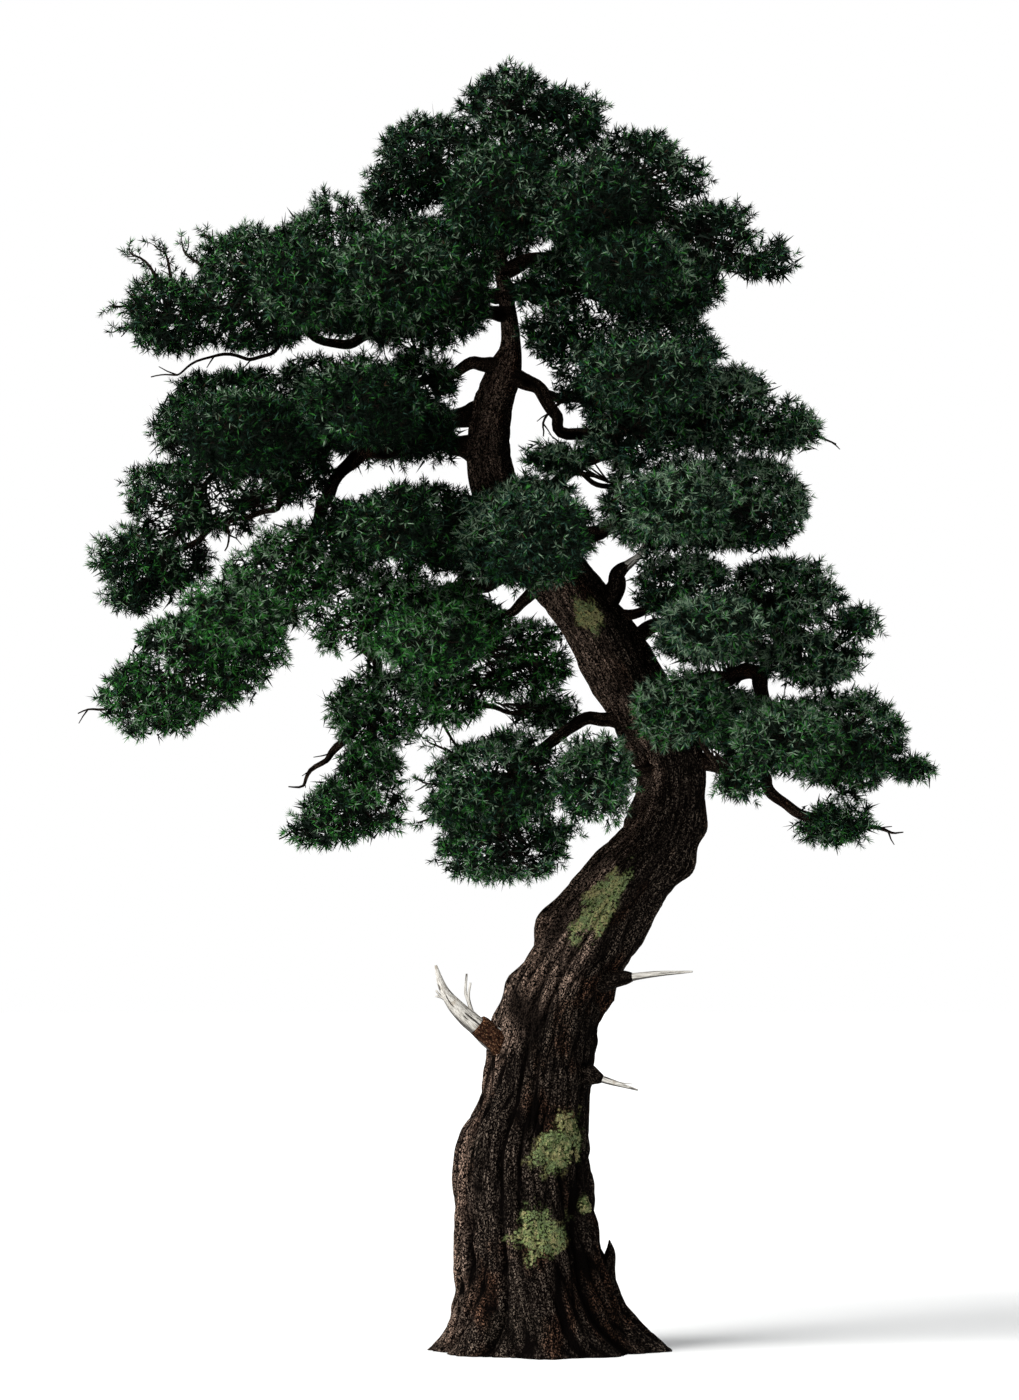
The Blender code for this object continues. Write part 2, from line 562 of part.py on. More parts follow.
# ---------------------------------------------------------------------------
# Masses of foliage
# ---------------------------------------------------------------------------
def stem_start(name, carrier, heart, boughs, trunk_line):
    """Where a mass's stem starts, which way it sets out, and its radius there."""
    if carrier == "bough":
        line, radius = boughs[name]
        along = (line[-1] - line[-2]) / np.linalg.norm(line[-1] - line[-2])
        return line[-1] + along * GAP, along, radius * 0.9
    if carrier == "tip":
        return trunk_line[-1, :3] + (0, 0, GAP * 2), (0, 0, 1), trunk_line[-1, 3] * 0.9
    start = at_height(trunk_line, carrier)[:3]
    return start, (heart - start) / np.linalg.norm(heart - start), STEM_RADIUS


def make_core(name, lobe, rng, surfaces):
    """A lumpy pad inside a lobe, kept out of the other masses' space and clear of the limbs."""
    bm = bmesh.new()
    bmesh.ops.create_uvsphere(bm, u_segments=CORE_SIDES, v_segments=CORE_ROWS, radius=1.0)
    bmesh.ops.triangulate(bm, faces=bm.faces)
    turn = Matrix.Rotation(rng.uniform(0, math.tau), 3, (0, 0, 1))
    rays = [(turn @ vert.co).normalized() for vert in bm.verts]
    shares = []
    for ray in rays:
        share = CORE_SHARE * rng.uniform(*CORE_LUMPS)
        while share > CORE_STEP and other_values(border_point(lobe, ray, share), name)[0] < share + CLEARANCE:
            share -= CORE_STEP
        shares.append(share)
    for shrink in SHRINK_STEPS:
        for vert, ray, share in zip(bm.verts, rays, shares):
            vert.co = border_point(lobe, ray, share * shrink)
        if not touches(bm, surfaces):
            return bm
    bm.free()
    return None


def spray_mesh(root, tip, width, roll):
    """A lens of needles: a thin blade with a tooth on each side, from its root to its tip."""
    root = Vector(root)
    along = Vector(tip) - root
    length = along.length
    side = along.cross(Vector((0, 0, 1)))
    if side.length < 0.2 * length:
        side = along.cross(Vector((0, 1, 0)))
    side = (Matrix.Rotation(roll, 3, along) @ side).normalized()
    thick = along.cross(side).normalized() * SPRAY_THICKNESS * length / 2
    outline = [(0, 0), *SPRAY_TOOTH, (1, 0), *((u, -v) for u, v in reversed(SPRAY_TOOTH))]
    bm = bmesh.new()
    edge = [bm.verts.new(root + along * u + side * v * width * 2) for u, v in outline]
    middle = root + along * SPRAY_MIDDLE
    top = bm.verts.new(middle + thick)
    bottom = bm.verts.new(middle - thick)
    for a, b in zip(edge, edge[1:] + edge[:1]):
        bm.faces.new((a, b, top))
        bm.faces.new((b, a, bottom))
    return bm


def spray_rays(lobe, trunk_line):
    """Directions spread evenly over a lobe, the first of them pointing straight away from the trunk."""
    heart = Vector(lobe[:3])
    outward = heart - Vector(at_height(trunk_line, heart.z)[:3])
    outward.z = max(outward.z, SPRAY_LIFT * outward.length)
    turn = Vector((0, 0, 1)).rotation_difference(outward.normalized())
    rays = []
    for i in range(SPRAYS):
        z = 1 - SPRAY_SPAN * i / (SPRAYS - 1)
        ring = math.sqrt(max(0.0, 1 - z * z))
        bearing = i * math.pi * (3 - math.sqrt(5))
        ray = turn @ Vector((ring * math.cos(bearing), ring * math.sin(bearing), z))
        rays.append(ray.normalized())
    return rays


def make_sprays(name, lobe, lobes, rng, trunk_line, surfaces):
    """Sprays that stand out of a lobe; one that would be hidden, leave its space or touch a limb is skipped."""
    sprays = []
    for ray in spray_rays(lobe, trunk_line):
        tip = border_point(lobe, ray, SPRAY_TIP * rng.uniform(0.97, 1.03))
        root = border_point(lobe, ray, SPRAY_ROOT)
        hidden = mass_values(tip, lobes)[0] < HIDDEN
        crowded = other_values(tip, name)[0] < mass_values(tip, lobes)[0] + CLEARANCE
        if hidden or crowded:
            continue
        width = SPRAY_WIDTH * lobe[3] * rng.uniform(0.85, 1.15)
        bm = spray_mesh(root, tip, width, rng.uniform(-SPRAY_ROLL, SPRAY_ROLL))
        if touches(bm, surfaces):
            bm.free()
            continue
        sprays.append(bm)
    return sprays


def mass_limbs(lobes, start, along, start_radius, bare):
    """The stem, square to what it starts from; the limbs from heart to heart; and the bare twigs."""
    hearts = [lobe[:3] for lobe in lobes]
    foot = np.array(start) + np.array(along) * STEM_FOOT
    limbs = [tube((start, foot, hearts[0]), (start_radius, start_radius, HEART_RADIUS), STEM_SIDES)]
    for number, lobe in enumerate(lobes[1:], 1):
        parent = lobe[6] if len(lobe) > 6 else number - 1
        limbs.append(tube((hearts[parent], hearts[number]), (HEART_RADIUS, HEART_RADIUS * 0.7), TWIG_SIDES))
    for number, points, *stout in bare:
        radii = np.linspace(stout[0] if stout else TWIG_RADIUS, TWIG_TIP_RADIUS, len(points) + 1)
        limbs.append(tube((hearts[number], *points), radii, TWIG_SIDES))
    return limbs


def make_mass(name, carrier, lobes, bare, boughs, trunk_line, cutter, surfaces, material):
    """One mass: its stem, limbs, cores and sprays, joined into one body and cut clear of the trunk."""
    rng = random.Random(f"{SEED} {name}")
    start, along, radius = stem_start(name, carrier, np.array(lobes[0][:3]), boughs, trunk_line)
    limbs = mass_limbs(lobes, start, along, radius, bare)
    shapes = [core for core in (make_core(name, lobe, rng, surfaces) for lobe in lobes) if core]
    for lobe in lobes:
        shapes += make_sprays(name, lobe, lobes, rng, trunk_line, surfaces)
    mass = add_object("mass_" + name, limbs[0], material)
    pieces = bpy.data.collections.new(name + "_pieces")
    bpy.context.scene.collection.children.link(pieces)
    for number, shape in enumerate(limbs[1:] + shapes):
        piece = add_object(f"{name}_{number}", shape, material)
        bpy.context.scene.collection.objects.unlink(piece)
        pieces.objects.link(piece)
    apply_boolean(mass, "UNION", collection=pieces)
    for piece in list(pieces.objects):
        bpy.data.objects.remove(piece)
    bpy.data.collections.remove(pieces)
    apply_boolean(mass, "DIFFERENCE", cutter=cutter)
    keep_largest_body(mass)
    return mass


# ---------------------------------------------------------------------------
# The tree
# ---------------------------------------------------------------------------
def make_tree():
    for old in list(bpy.data.objects):
        bpy.data.objects.remove(old)
    bark = plain_material("bark", BARK_COLOUR)
    dead_wood = plain_material("dead_wood", DEAD_WOOD_COLOUR)
    needles = plain_material("needles", NEEDLE_COLOUR)

    trunk_line = smooth_line(TRUNK_KNOTS, TRUNK_STEP)
    trunk = make_trunk(trunk_line, bark)
    cutter = make_trunk_cutter(trunk_line)
    surfaces = []
    boughs = {}
    lobes_of = {name: lobes for name, _, lobes, _ in MASSES}
    for name, height, via, start_radius, tip_radius in BOUGHS:
        line = bough_line(name, height, via, trunk_line, lobes_of[name])
        bough = make_bough(name, height, line, trunk_line, (start_radius, tip_radius), cutter, bark)
        boughs[name] = (line, tip_radius)
        surfaces.append(surface_of(bough))
    for name, points, start_radius, tip_radius, shoots in DEAD_LIMBS:
        limb = make_dead_limb(name, points, (start_radius, tip_radius), shoots, cutter, dead_wood)
        surfaces.append(surface_of(limb))
    for name, carrier, lobes, bare in MASSES:
        mass = make_mass(name, carrier, lobes, bare, boughs, trunk_line, cutter, surfaces, needles)
        surfaces.append(surface_of(mass))


make_tree()
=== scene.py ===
"""An old pine, 12 m tall, dressed from the ground up: bark, lichen, boughs, dead limbs, twigs and needles."""

import math

import bpy
import numpy as np
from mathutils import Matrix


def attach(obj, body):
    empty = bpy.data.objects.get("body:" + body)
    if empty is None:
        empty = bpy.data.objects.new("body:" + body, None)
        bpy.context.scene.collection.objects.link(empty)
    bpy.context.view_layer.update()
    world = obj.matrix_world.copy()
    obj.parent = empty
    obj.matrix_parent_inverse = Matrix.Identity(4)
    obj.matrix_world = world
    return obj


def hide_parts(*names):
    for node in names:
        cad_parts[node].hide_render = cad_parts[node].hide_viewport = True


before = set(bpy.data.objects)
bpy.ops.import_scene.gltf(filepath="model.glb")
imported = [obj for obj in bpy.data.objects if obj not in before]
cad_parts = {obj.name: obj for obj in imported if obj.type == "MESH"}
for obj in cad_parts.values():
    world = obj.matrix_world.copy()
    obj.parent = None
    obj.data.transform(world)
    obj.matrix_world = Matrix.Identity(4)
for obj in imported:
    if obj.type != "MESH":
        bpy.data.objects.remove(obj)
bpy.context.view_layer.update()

# ---------------------------------------------------------------------------
# Where it stands: a pale plain floor in a white studio, a soft lamp high on the left, a weaker one overhead,
# and a camera level with the middle of the tree, far enough off to see it almost without perspective.
# ---------------------------------------------------------------------------
VIEW_CENTRE = (-0.284, 6.056)  # x and z at the middle of the view
VIEW_HEIGHT = 13.044  # what the view spans at the trunk
CAMERA_DISTANCE = 70.0
SENSOR = 36.0
# Each lamp: strength, spread in degrees for soft-edged shadows, and tilt in degrees.
LAMPS = {
    "side_lamp": (4.4, 36, (52, 0, -60)),
    "top_lamp": (1.3, 120, (12, 0, 0)),
}
BACKDROP_COLOUR = (1.0, 1.0, 1.0, 1.0)
FILL_COLOUR = (0.93, 0.96, 1.0, 1.0)
FILL_STRENGTH = 0.26  # the light that comes from all round
FLOOR_SIZE = 150.0
FLOOR_COLOUR = (0.86, 0.86, 0.85, 1.0)
FLOOR_ROUGHNESS = 0.9
FLOOR_GLOSS = 0.1

scene = bpy.context.scene
scene.view_settings.view_transform = "Standard"


def place_in_scene(name, data):
    piece = bpy.data.objects.new(name, data)
    scene.collection.objects.link(piece)
    return piece


camera = place_in_scene("camera", bpy.data.cameras.new("camera"))
camera.location = (VIEW_CENTRE[0], -CAMERA_DISTANCE, VIEW_CENTRE[1])
camera.rotation_euler = (math.radians(90), 0, 0)
camera.data.sensor_width = SENSOR
camera.data.lens = SENSOR * CAMERA_DISTANCE / VIEW_HEIGHT
camera.data.clip_end = 3 * CAMERA_DISTANCE
scene.camera = camera

for name, (strength, spread, tilt) in LAMPS.items():
    lamp = place_in_scene(name, bpy.data.lights.new(name, "SUN"))
    lamp.data.energy = strength
    lamp.data.angle = math.radians(spread)
    lamp.rotation_euler = [math.radians(angle) for angle in tilt]


def feed(tree, socket, value):
    """Gives a socket a value, or a link where the value is another node's output."""
    if isinstance(value, bpy.types.NodeSocket):
        tree.links.new(value, socket)
    else:
        socket.default_value = value


def add_node(tree, kind, settings=(), **inputs):
    """A shader node with its settings, and a value or a link for each of its named inputs."""
    node = tree.nodes.new("ShaderNode" + kind)
    for name, value in dict(settings).items():
        setattr(node, name, value)
    for name, value in inputs.items():
        feed(tree, node.inputs[name.replace("_", " ")], value)
    return node


studio = bpy.data.worlds.new("studio")
studio.use_nodes = True
studio.node_tree.nodes.clear()
backdrop = add_node(studio.node_tree, "Background", Color=BACKDROP_COLOUR, Strength=1.0)
fill = add_node(studio.node_tree, "Background", Color=FILL_COLOUR, Strength=FILL_STRENGTH)
sight = add_node(studio.node_tree, "LightPath")
seen = add_node(studio.node_tree, "MixShader", Fac=sight.outputs["Is Camera Ray"])
studio.node_tree.links.new(fill.outputs[0], seen.inputs[1])
studio.node_tree.links.new(backdrop.outputs[0], seen.inputs[2])
add_node(studio.node_tree, "OutputWorld", Surface=seen.outputs[0])
scene.world = studio

half = FLOOR_SIZE / 2
floor_mesh = bpy.data.meshes.new("floor")
floor_corners = [(-half, -half, 0), (half, -half, 0), (half, half, 0), (-half, half, 0)]
floor_mesh.from_pydata(floor_corners, [], [(0, 1, 2, 3)])
floor = place_in_scene("floor", floor_mesh)

floor_paint = bpy.data.materials.new("floor_paint")
floor_paint.use_nodes = True
floor_shader = floor_paint.node_tree.nodes["Principled BSDF"]
floor_shader.inputs["Base Color"].default_value = FLOOR_COLOUR
floor_shader.inputs["Roughness"].default_value = FLOOR_ROUGHNESS
floor_shader.inputs["Specular IOR Level"].default_value = FLOOR_GLOSS
floor.data.materials.append(floor_paint)

# ---------------------------------------------------------------------------
# Trunk: one stem of living wood from the ground to the tip, bent twice and flared over its roots. Its bark is
# thick, split by long furrows into plates that follow the roots out at the foot and grow smaller higher up.
# ---------------------------------------------------------------------------
SEED = 17
# The heartwood line: (x, y, z, radius), from the ground up through the crown to the tip.
TRUNK_KNOTS = (
    (0.04, 0.00, 0.00, 0.80),
    (-0.04, 0.00, 0.50, 0.74),
    (-0.14, 0.02, 1.20, 0.665),
    (-0.15, 0.05, 1.80, 0.635),
    (-0.04, 0.10, 2.35, 0.52),
    (0.03, 0.15, 2.85, 0.495),
    (0.16, 0.21, 3.30, 0.475),
    (0.44, 0.26, 3.82, 0.44),
    (0.74, 0.27, 4.30, 0.42),
    (1.09, 0.25, 4.77, 0.37),
    (1.23, 0.20, 5.20, 0.33),
    (1.17, 0.12, 5.62, 0.32),
    (0.89, 0.00, 6.12, 0.325),
    (0.53, -0.10, 6.72, 0.305),
    (0.12, -0.16, 7.24, 0.285),
    (-0.27, -0.14, 7.70, 0.255),
    (-0.46, -0.06, 8.20, 0.22),
    (-0.44, 0.02, 8.75, 0.195),
    (-0.33, 0.06, 9.12, 0.165),
    (-0.27, 0.07, 9.40, 0.095),
    (-0.33, 0.06, 9.90, 0.075),
    (-0.41, 0.04, 10.45, 0.062),
    (-0.36, 0.02, 11.05, 0.045),
    (-0.30, 0.00, 11.50, 0.022),
)
TRUNK_STEP = 0.02
TRUNK_RINGS = 380
TRUNK_COLUMNS = 256
LOW_RING_SHARE = 0.65  # how far apart the rings at the foot are, beside an even spacing
LEVEL_BELOW = 1.2  # the rings are level at the ground and square to the line from this height up
# The roots that swell out of the foot: (bearing in degrees from +X towards +Y, reach beyond the trunk, width
# in degrees).
ROOTS = (
    (0, 0.37, 26),
    (48, 0.22, 22),
    (95, 0.30, 24),
    (140, 0.18, 20),
    (182, 0.33, 26),
    (228, 0.24, 20),
    (268, 0.26, 18),
    (312, 0.28, 22),
)
ROOT_HEIGHT = 0.34
FLUTES = 5  # broad ribs that wind up the trunk
FLUTE_DEPTH = 0.035
FLUTE_TURN = 0.35  # radians that the ribs turn per metre of height
PLATES_ROUND = 36
# How long the plates are: (height, length).
PLATE_LENGTHS = ((0.0, 1.30), (0.9, 1.10), (2.0, 0.80), (5.0, 0.45), (9.0, 0.20), (12.0, 0.10))
PLATE_WANDER = 0.45  # how far a furrow strays sideways, in plates
PLATE_EDGE = 0.7  # below 1 a plate rises steeply at its edge and flattens further in
LOWEST_PLATE = 0.75  # height of the plates that stand out least, beside those that stand out most
SCALES_ACROSS = 2  # smaller scales to a plate
SCALES_ALONG = 3.2
SCALE_EDGE = 0.3  # share of a scale over which it rises
FURROW_WIDTH = 0.36  # share of a plate over which it rises from its furrow
FURROW_DEPTH = 0.085  # beside the trunk's radius
FURROW_LIMIT = 0.050
FURROW_SHADE = 0.62  # bark lower than about this is in a furrow's shade
FURROW_DARK = 1.2
SCALE_DEPTH = 0.22  # of a furrow's depth, for the smaller scales on each plate
# Folds that run down the trunk and out over the roots: (how many round it, length of a wave, swell between
# two creases at the ground, depth of a crease, width of a crease, height over which they die away).
FOLDS = (
    (18, 2.1, 0.060, 0.050, 0.17, 2.6),
    (46, 1.5, 0.024, 0.026, 0.22, 2.4),
)
FOLD_TOP = 0.8  # a fold is flat-topped where its wave rises above this
CREASE_LAST = 1.6  # how much higher up the creases last than the folds
CREASE_SPREAD = 1.6  # how far the shade spreads up a crease's sides
CREASE_DARK = 1.3
CREASE_FADE = 9.0  # height over which their shade thins out
SPLAY = 0.55  # how much the folds spread apart at the front of the foot
SPLAY_HEIGHT = 0.45  # height over which they close up again
# Lumps and knobs all over: (how many round the trunk, length, swell beside the radius, seed).
LUMPS = (
    (7, 0.42, 0.045, 5),
    (16, 0.15, 0.030, 8),
)
PAINTED_SHADE_SIDE = (0.15, 0.85)  # painted shade on the trunk's right side, between these shares of its half width
# How strong that painted shade is: (height, share).
PAINTED_SHADE_SHARES = ((0.0, 0.15), (0.9, 0.7), (2.8, 0.7), (3.6, 0.45), (7.0, 0.35))
PAINTED_LIGHT_SIDE = (0.60, 1.00)  # painted sunlight on the left side, between these shares of its half width
# How much further round it the painted sunlight reaches where the trunk leans over: (height, share of its
# half width).
PAINTED_LIGHT_REACH = (
    (1.9, 0.0),
    (2.2, -0.15),
    (2.6, 0.10),
    (3.4, 1.15),
    (3.9, 1.0),
    (4.6, 0.25),
    (6.0, 0.7),
    (7.4, 1.3),
    (9.0, 1.3),
)
# Burls, the swellings round old branch scars and, below zero, hollows: (bearing in degrees, height, width,
# how far it stands out).
BURLS = (
    (180, 2.16, 0.26, -0.060),
    (180, 2.80, 0.10, 0.035),
    (184, 3.50, 0.16, -0.075),
    (184, 3.78, 0.18, 0.085),
    (186, 4.62, 0.16, -0.080),
    (180, 0.56, 0.28, -0.055),
    (352, 0.75, 0.20, 0.040),
    (184, 3.28, 0.13, 0.065),
    (176, 2.98, 0.10, 0.035),
    (186, 4.34, 0.20, -0.030),
    (355, 4.98, 0.12, 0.080),
    (350, 4.72, 0.10, 0.100),
    (350, 3.44, 0.13, 0.050),
    (352, 2.58, 0.12, 0.040),
    (186, 1.64, 0.18, -0.020),
    (0, 1.52, 0.16, 0.045),
    (0, 2.02, 0.14, 0.030),
    (182, 5.70, 0.13, 0.090),
    (205, 5.90, 0.12, 0.060),
    (245, 5.92, 0.14, 0.060),
    (182, 6.42, 0.30, 0.040),
    (300, 5.66, 0.12, 0.035),
    (60, 6.40, 0.15, 0.045),
    (90, 3.60, 0.20, 0.050),
    (35, 7.15, 0.12, 0.040),
)


def smooth_line(knots, step):
    """Rows read every `step` metres or so along a smooth curve through knots that start with x, y, z."""
    knots = np.array(knots, dtype=float)
    before = 2 * knots[0] - knots[1]
    after = 2 * knots[-1] - knots[-2]
    rows = np.vstack([before, knots, after])
    line = []
    for a, b, c, d in zip(rows, rows[1:], rows[2:], rows[3:]):
        pieces = max(1, round(np.linalg.norm((c - b)[:3]) / step))
        for t in np.arange(pieces) / pieces:
            bend = (2 * a - 5 * b + 4 * c - d) * t**2
            twist = (3 * (b - c) + d - a) * t**3
            line.append((2 * b + (c - a) * t + bend + twist) / 2)
    line.append(knots[-1])
    return np.array(line)


def travelled(line):
    """Distance along a line to each of its rows."""
    return np.concatenate([[0], np.cumsum(np.linalg.norm(np.diff(line[:, :3], axis=0), axis=1))])


def at_places(line, source, places):
    """Rows of a line read where its source values, which only rise, reach the given places."""
    return np.stack([np.interp(places, source, line[:, column]) for column in range(line.shape[1])], axis=-1)


def unit(vectors):
    return vectors / np.linalg.norm(vectors, axis=-1, keepdims=True)


def round_axis(across, beside, turn):
    """Directions at angles round an axis, from the two directions where the angle is 0 and a quarter turn."""
    return across * np.cos(turn)[..., None] + beside * np.sin(turn)[..., None]


def between(values, low, high):
    """Values as shares of the way from low to high, and no further."""
    return np.clip((values - low) / (high - low), 0, 1)


def eased(share):
    """A share from 0 to 1 that sets out and arrives gently."""
    return share * share * (3 - 2 * share)


def lattice_noise(across, along, columns, seed):
    """Smooth noise from -1 to 1 over square cells; it closes up round the limb after `columns` of them."""
    dice = np.random.default_rng(seed)
    values = dice.uniform(-1, 1, (int(along.max()) + 4, columns))
    column = np.floor(across).astype(int)
    row = np.floor(along).astype(int)
    u = eased(across - column)
    v = eased(along - row)
    left = column % columns
    right = (column + 1) % columns
    low = values[row + 1, left] * (1 - u) + values[row + 1, right] * u
    high = values[row + 2, left] * (1 - u) + values[row + 2, right] * u
    return low * (1 - v) + high * v


def plate_edges(across, along, columns, seed):
    """How far in from the edge of its plate each point lies, in plates, and a number of the plate's own."""
    dice = np.random.default_rng(seed)
    rows = int(along.max()) + 5
    hearts = dice.random((rows, columns, 2))
    numbers = dice.random((rows, columns))
    column = np.floor(across).astype(int)
    row = np.floor(along).astype(int)
    nearest = np.full(across.shape, 9.0)
    second = nearest.copy()
    number = np.zeros(across.shape)
    for up in (-1, 0, 1):
        for side in (-1, 0, 1):
            cell = (row + up + 2, (column + side) % columns)
            beside = hearts[cell][..., 0] + column + side - across
            above = hearts[cell][..., 1] + row + up - along
            away = np.hypot(beside, above)
            number = np.where(away < nearest, numbers[cell], number)
            second = np.minimum(second, np.maximum(nearest, away))
            nearest = np.minimum(nearest, away)
    return second - nearest, number


def turned_from(bearing, degrees):
    """How far round the trunk a bearing is from one given in degrees, half a turn at most either way."""
    return (bearing - math.radians(degrees) + math.pi) % math.tau - math.pi


def root_flare(bearing, z):
    """How far the roots push the trunk's side out at a height."""
    reach = 0.0
    for root, out, width in ROOTS:
        reach = reach + out * np.exp(-((turned_from(bearing, root) / math.radians(width)) ** 2))
    return reach * np.exp(-z / ROOT_HEIGHT)


def burl_swelling(bearing, z, radius):
    swelling = 0.0
    for turn, height, width, out in BURLS:
        away = turned_from(bearing, turn) * radius
        swelling = swelling + out * np.exp(-(away**2 + (z - height) ** 2) / width**2)
    return swelling


def bark_relief(bearing, along, z):
    """Height of the trunk's bark, from 0 in a furrow to about 1 on a plate."""
    spiral = (bearing + FLUTE_TURN / 2 * along) / math.tau
    heights, lengths = zip(*PLATE_LENGTHS)
    rows = np.concatenate([[0], np.cumsum(np.diff(along[:, 0]) / np.interp(z[1:, 0], heights, lengths))])
    rows = np.broadcast_to(rows[:, None], bearing.shape)
    across = spiral * PLATES_ROUND
    across = across + PLATE_WANDER * lattice_noise(across / 4, rows / 1.3, PLATES_ROUND // 4, SEED)
    across = across + PLATE_WANDER / 2 * lattice_noise(across / 2, rows * 1.1, PLATES_ROUND // 2, SEED + 1)
    inward, number = plate_edges(across, rows, PLATES_ROUND, SEED + 2)
    plate = np.clip(inward / FURROW_WIDTH, 0, 1) ** PLATE_EDGE
    smaller = (across * SCALES_ACROSS, rows * SCALES_ALONG, PLATES_ROUND * SCALES_ACROSS)
    scale_in, scale_number = plate_edges(*smaller, SEED + 3)
    scales = (np.clip(scale_in / SCALE_EDGE, 0, 1) + scale_number) / 2
    return plate * (LOWEST_PLATE + (1 - LOWEST_PLATE) * number) * (1 - SCALE_DEPTH * (1 - scales))


def skin(rings):
    """Points and triangles of a limb through rings of points (ring, side, xyz), closed at both ends."""
    count, sides = rings.shape[:2]
    corner = np.arange(count * sides).reshape(count, sides)
    beside = np.roll(corner, -1, axis=1)
    foot = np.full(sides, count * sides)
    triangles = [
        np.stack([corner[:-1], beside[:-1], beside[1:]], axis=-1).reshape(-1, 3),
        np.stack([corner[:-1], beside[1:], corner[1:]], axis=-1).reshape(-1, 3),
        np.stack([beside[0], corner[0], foot], axis=-1),
        np.stack([corner[-1], beside[-1], foot + 1], axis=-1),
    ]
    return with_ends(rings), np.concatenate(triangles)


def with_ends(values):
    """Values given by ring and side as one list, followed by the means of the first ring and of the last."""
    flat = values.reshape(-1, *values.shape[2:])
    return np.concatenate([flat, values[:1].mean(axis=1), values[-1:].mean(axis=1)])


def add_piece(name, points, triangles, materials, shades=None, smooth=True, **marks):
    """A mesh of triangles; `shades` deals out its materials by face, and its points keep `marks`."""
    mesh = bpy.data.meshes.new(name)
    mesh.from_pydata(points, [], triangles.tolist())
    for material in materials:
        mesh.materials.append(material)
    if shades is not None:
        mesh.polygons.foreach_set("material_index", shades.astype(np.int32))
    for mark, values in marks.items():
        kind, field = ("FLOAT_VECTOR", "vector") if values.ndim == 2 else ("FLOAT", "value")
        attribute = mesh.attributes.new(mark, kind, "POINT")
        attribute.data.foreach_set(field, values.astype(np.float32).ravel())
    if smooth:
        mesh.shade_smooth()
    return place_in_scene(name, mesh)


fine_line = smooth_line(TRUNK_KNOTS, TRUNK_STEP)
upward = np.linspace(0, 1, TRUNK_RINGS)
ring_places = travelled(fine_line)[-1] * upward * (LOW_RING_SHARE + (1 - LOW_RING_SHARE) * upward)
trunk_line = at_places(fine_line, travelled(fine_line), ring_places)
lean = np.clip(trunk_line[:, 2:3] / LEVEL_BELOW, 0, 1) ** 2
trunk_up = unit((1 - lean) * (0, 0, 1) + lean * unit(np.gradient(trunk_line[:, :3], axis=0)))
trunk_right = unit((1, 0, 0) - trunk_up * trunk_up[:, :1])
trunk_away = np.cross(trunk_up, trunk_right)
bearing = np.broadcast_to(np.arange(TRUNK_COLUMNS) * math.tau / TRUNK_COLUMNS, (TRUNK_RINGS, TRUNK_COLUMNS))
along = np.broadcast_to(ring_places[:, None], bearing.shape)
z = np.broadcast_to(trunk_line[:, 2:3], bearing.shape)
radius = np.broadcast_to(trunk_line[:, 3:4], bearing.shape)
bark_height = bark_relief(bearing, along, z)
folds = np.zeros(bearing.shape)
creases = np.zeros(bearing.shape)
fold_turn = (bearing - SPLAY * np.exp(-z / SPLAY_HEIGHT) * np.cos(bearing)) / math.tau + 1
crease_shade = np.clip(CREASE_DARK * np.exp(-z / CREASE_FADE), 0, 1)
for number, (around, length, swell, depth, width, height) in enumerate(FOLDS):
    wave = np.abs(lattice_noise(fold_turn * around, along / length, around, SEED + 40 + number))
    crease = np.clip(1 - wave / width, 0, 1)
    folds = folds + (np.minimum(wave, FOLD_TOP) - FOLD_TOP / 2) * swell * np.exp(-z / height)
    folds = folds - crease * depth * np.exp(-z / height / CREASE_LAST)
    creases = np.maximum(creases, np.clip(crease * CREASE_SPREAD, 0, 1) * crease_shade)
lumps = 0.0
for around, length, swell, seed in LUMPS:
    lump = lattice_noise(bearing / math.tau * around, along / length, around, SEED + seed)
    lumps = lumps + lump * swell * radius
toward_sun = np.interp(z, *zip(*PAINTED_LIGHT_REACH)) - np.cos(bearing)
damp = eased(between(np.cos(bearing), *PAINTED_SHADE_SIDE)) * np.interp(z, *zip(*PAINTED_SHADE_SHARES))
damp = damp - between(toward_sun, *PAINTED_LIGHT_SIDE)  # from 1, painted shade, to -1, painted sunlight
reach = radius * (1 + FLUTE_DEPTH * np.cos(FLUTES * (bearing + FLUTE_TURN * z))) + root_flare(bearing, z)
reach = reach + folds + lumps + burl_swelling(bearing, z, radius)
reach = reach - (1 - bark_height) * np.minimum(FURROW_DEPTH * radius, FURROW_LIMIT)
spokes = round_axis(trunk_right[:, None], trunk_away[:, None], bearing)
trunk_rings = trunk_line[:, None, :3] + spokes * reach[..., None]
trunk_grain = np.stack([np.cos(bearing) * radius, np.sin(bearing) * radius, along], axis=-1)

# Crusts of lichen on the bark: (x, z, half its length, half its width, lean in degrees from upright, side: -1
# at the front and 1 at the back).
LICHEN_PATCHES = (
    (-0.02, 1.11, 0.33, 0.33, 0, -1),
    (0.17, 1.95, 0.44, 0.27, 42, -1),
    (0.41, 1.39, 0.12, 0.08, 0, -1),
    (0.56, 4.15, 0.52, 0.20, 36, -1),
    (0.43, 6.84, 0.25, 0.16, -30, -1),
    (-0.25, 1.60, 0.34, 0.26, 10, 1),
    (0.30, 3.30, 0.40, 0.18, 30, 1),
)
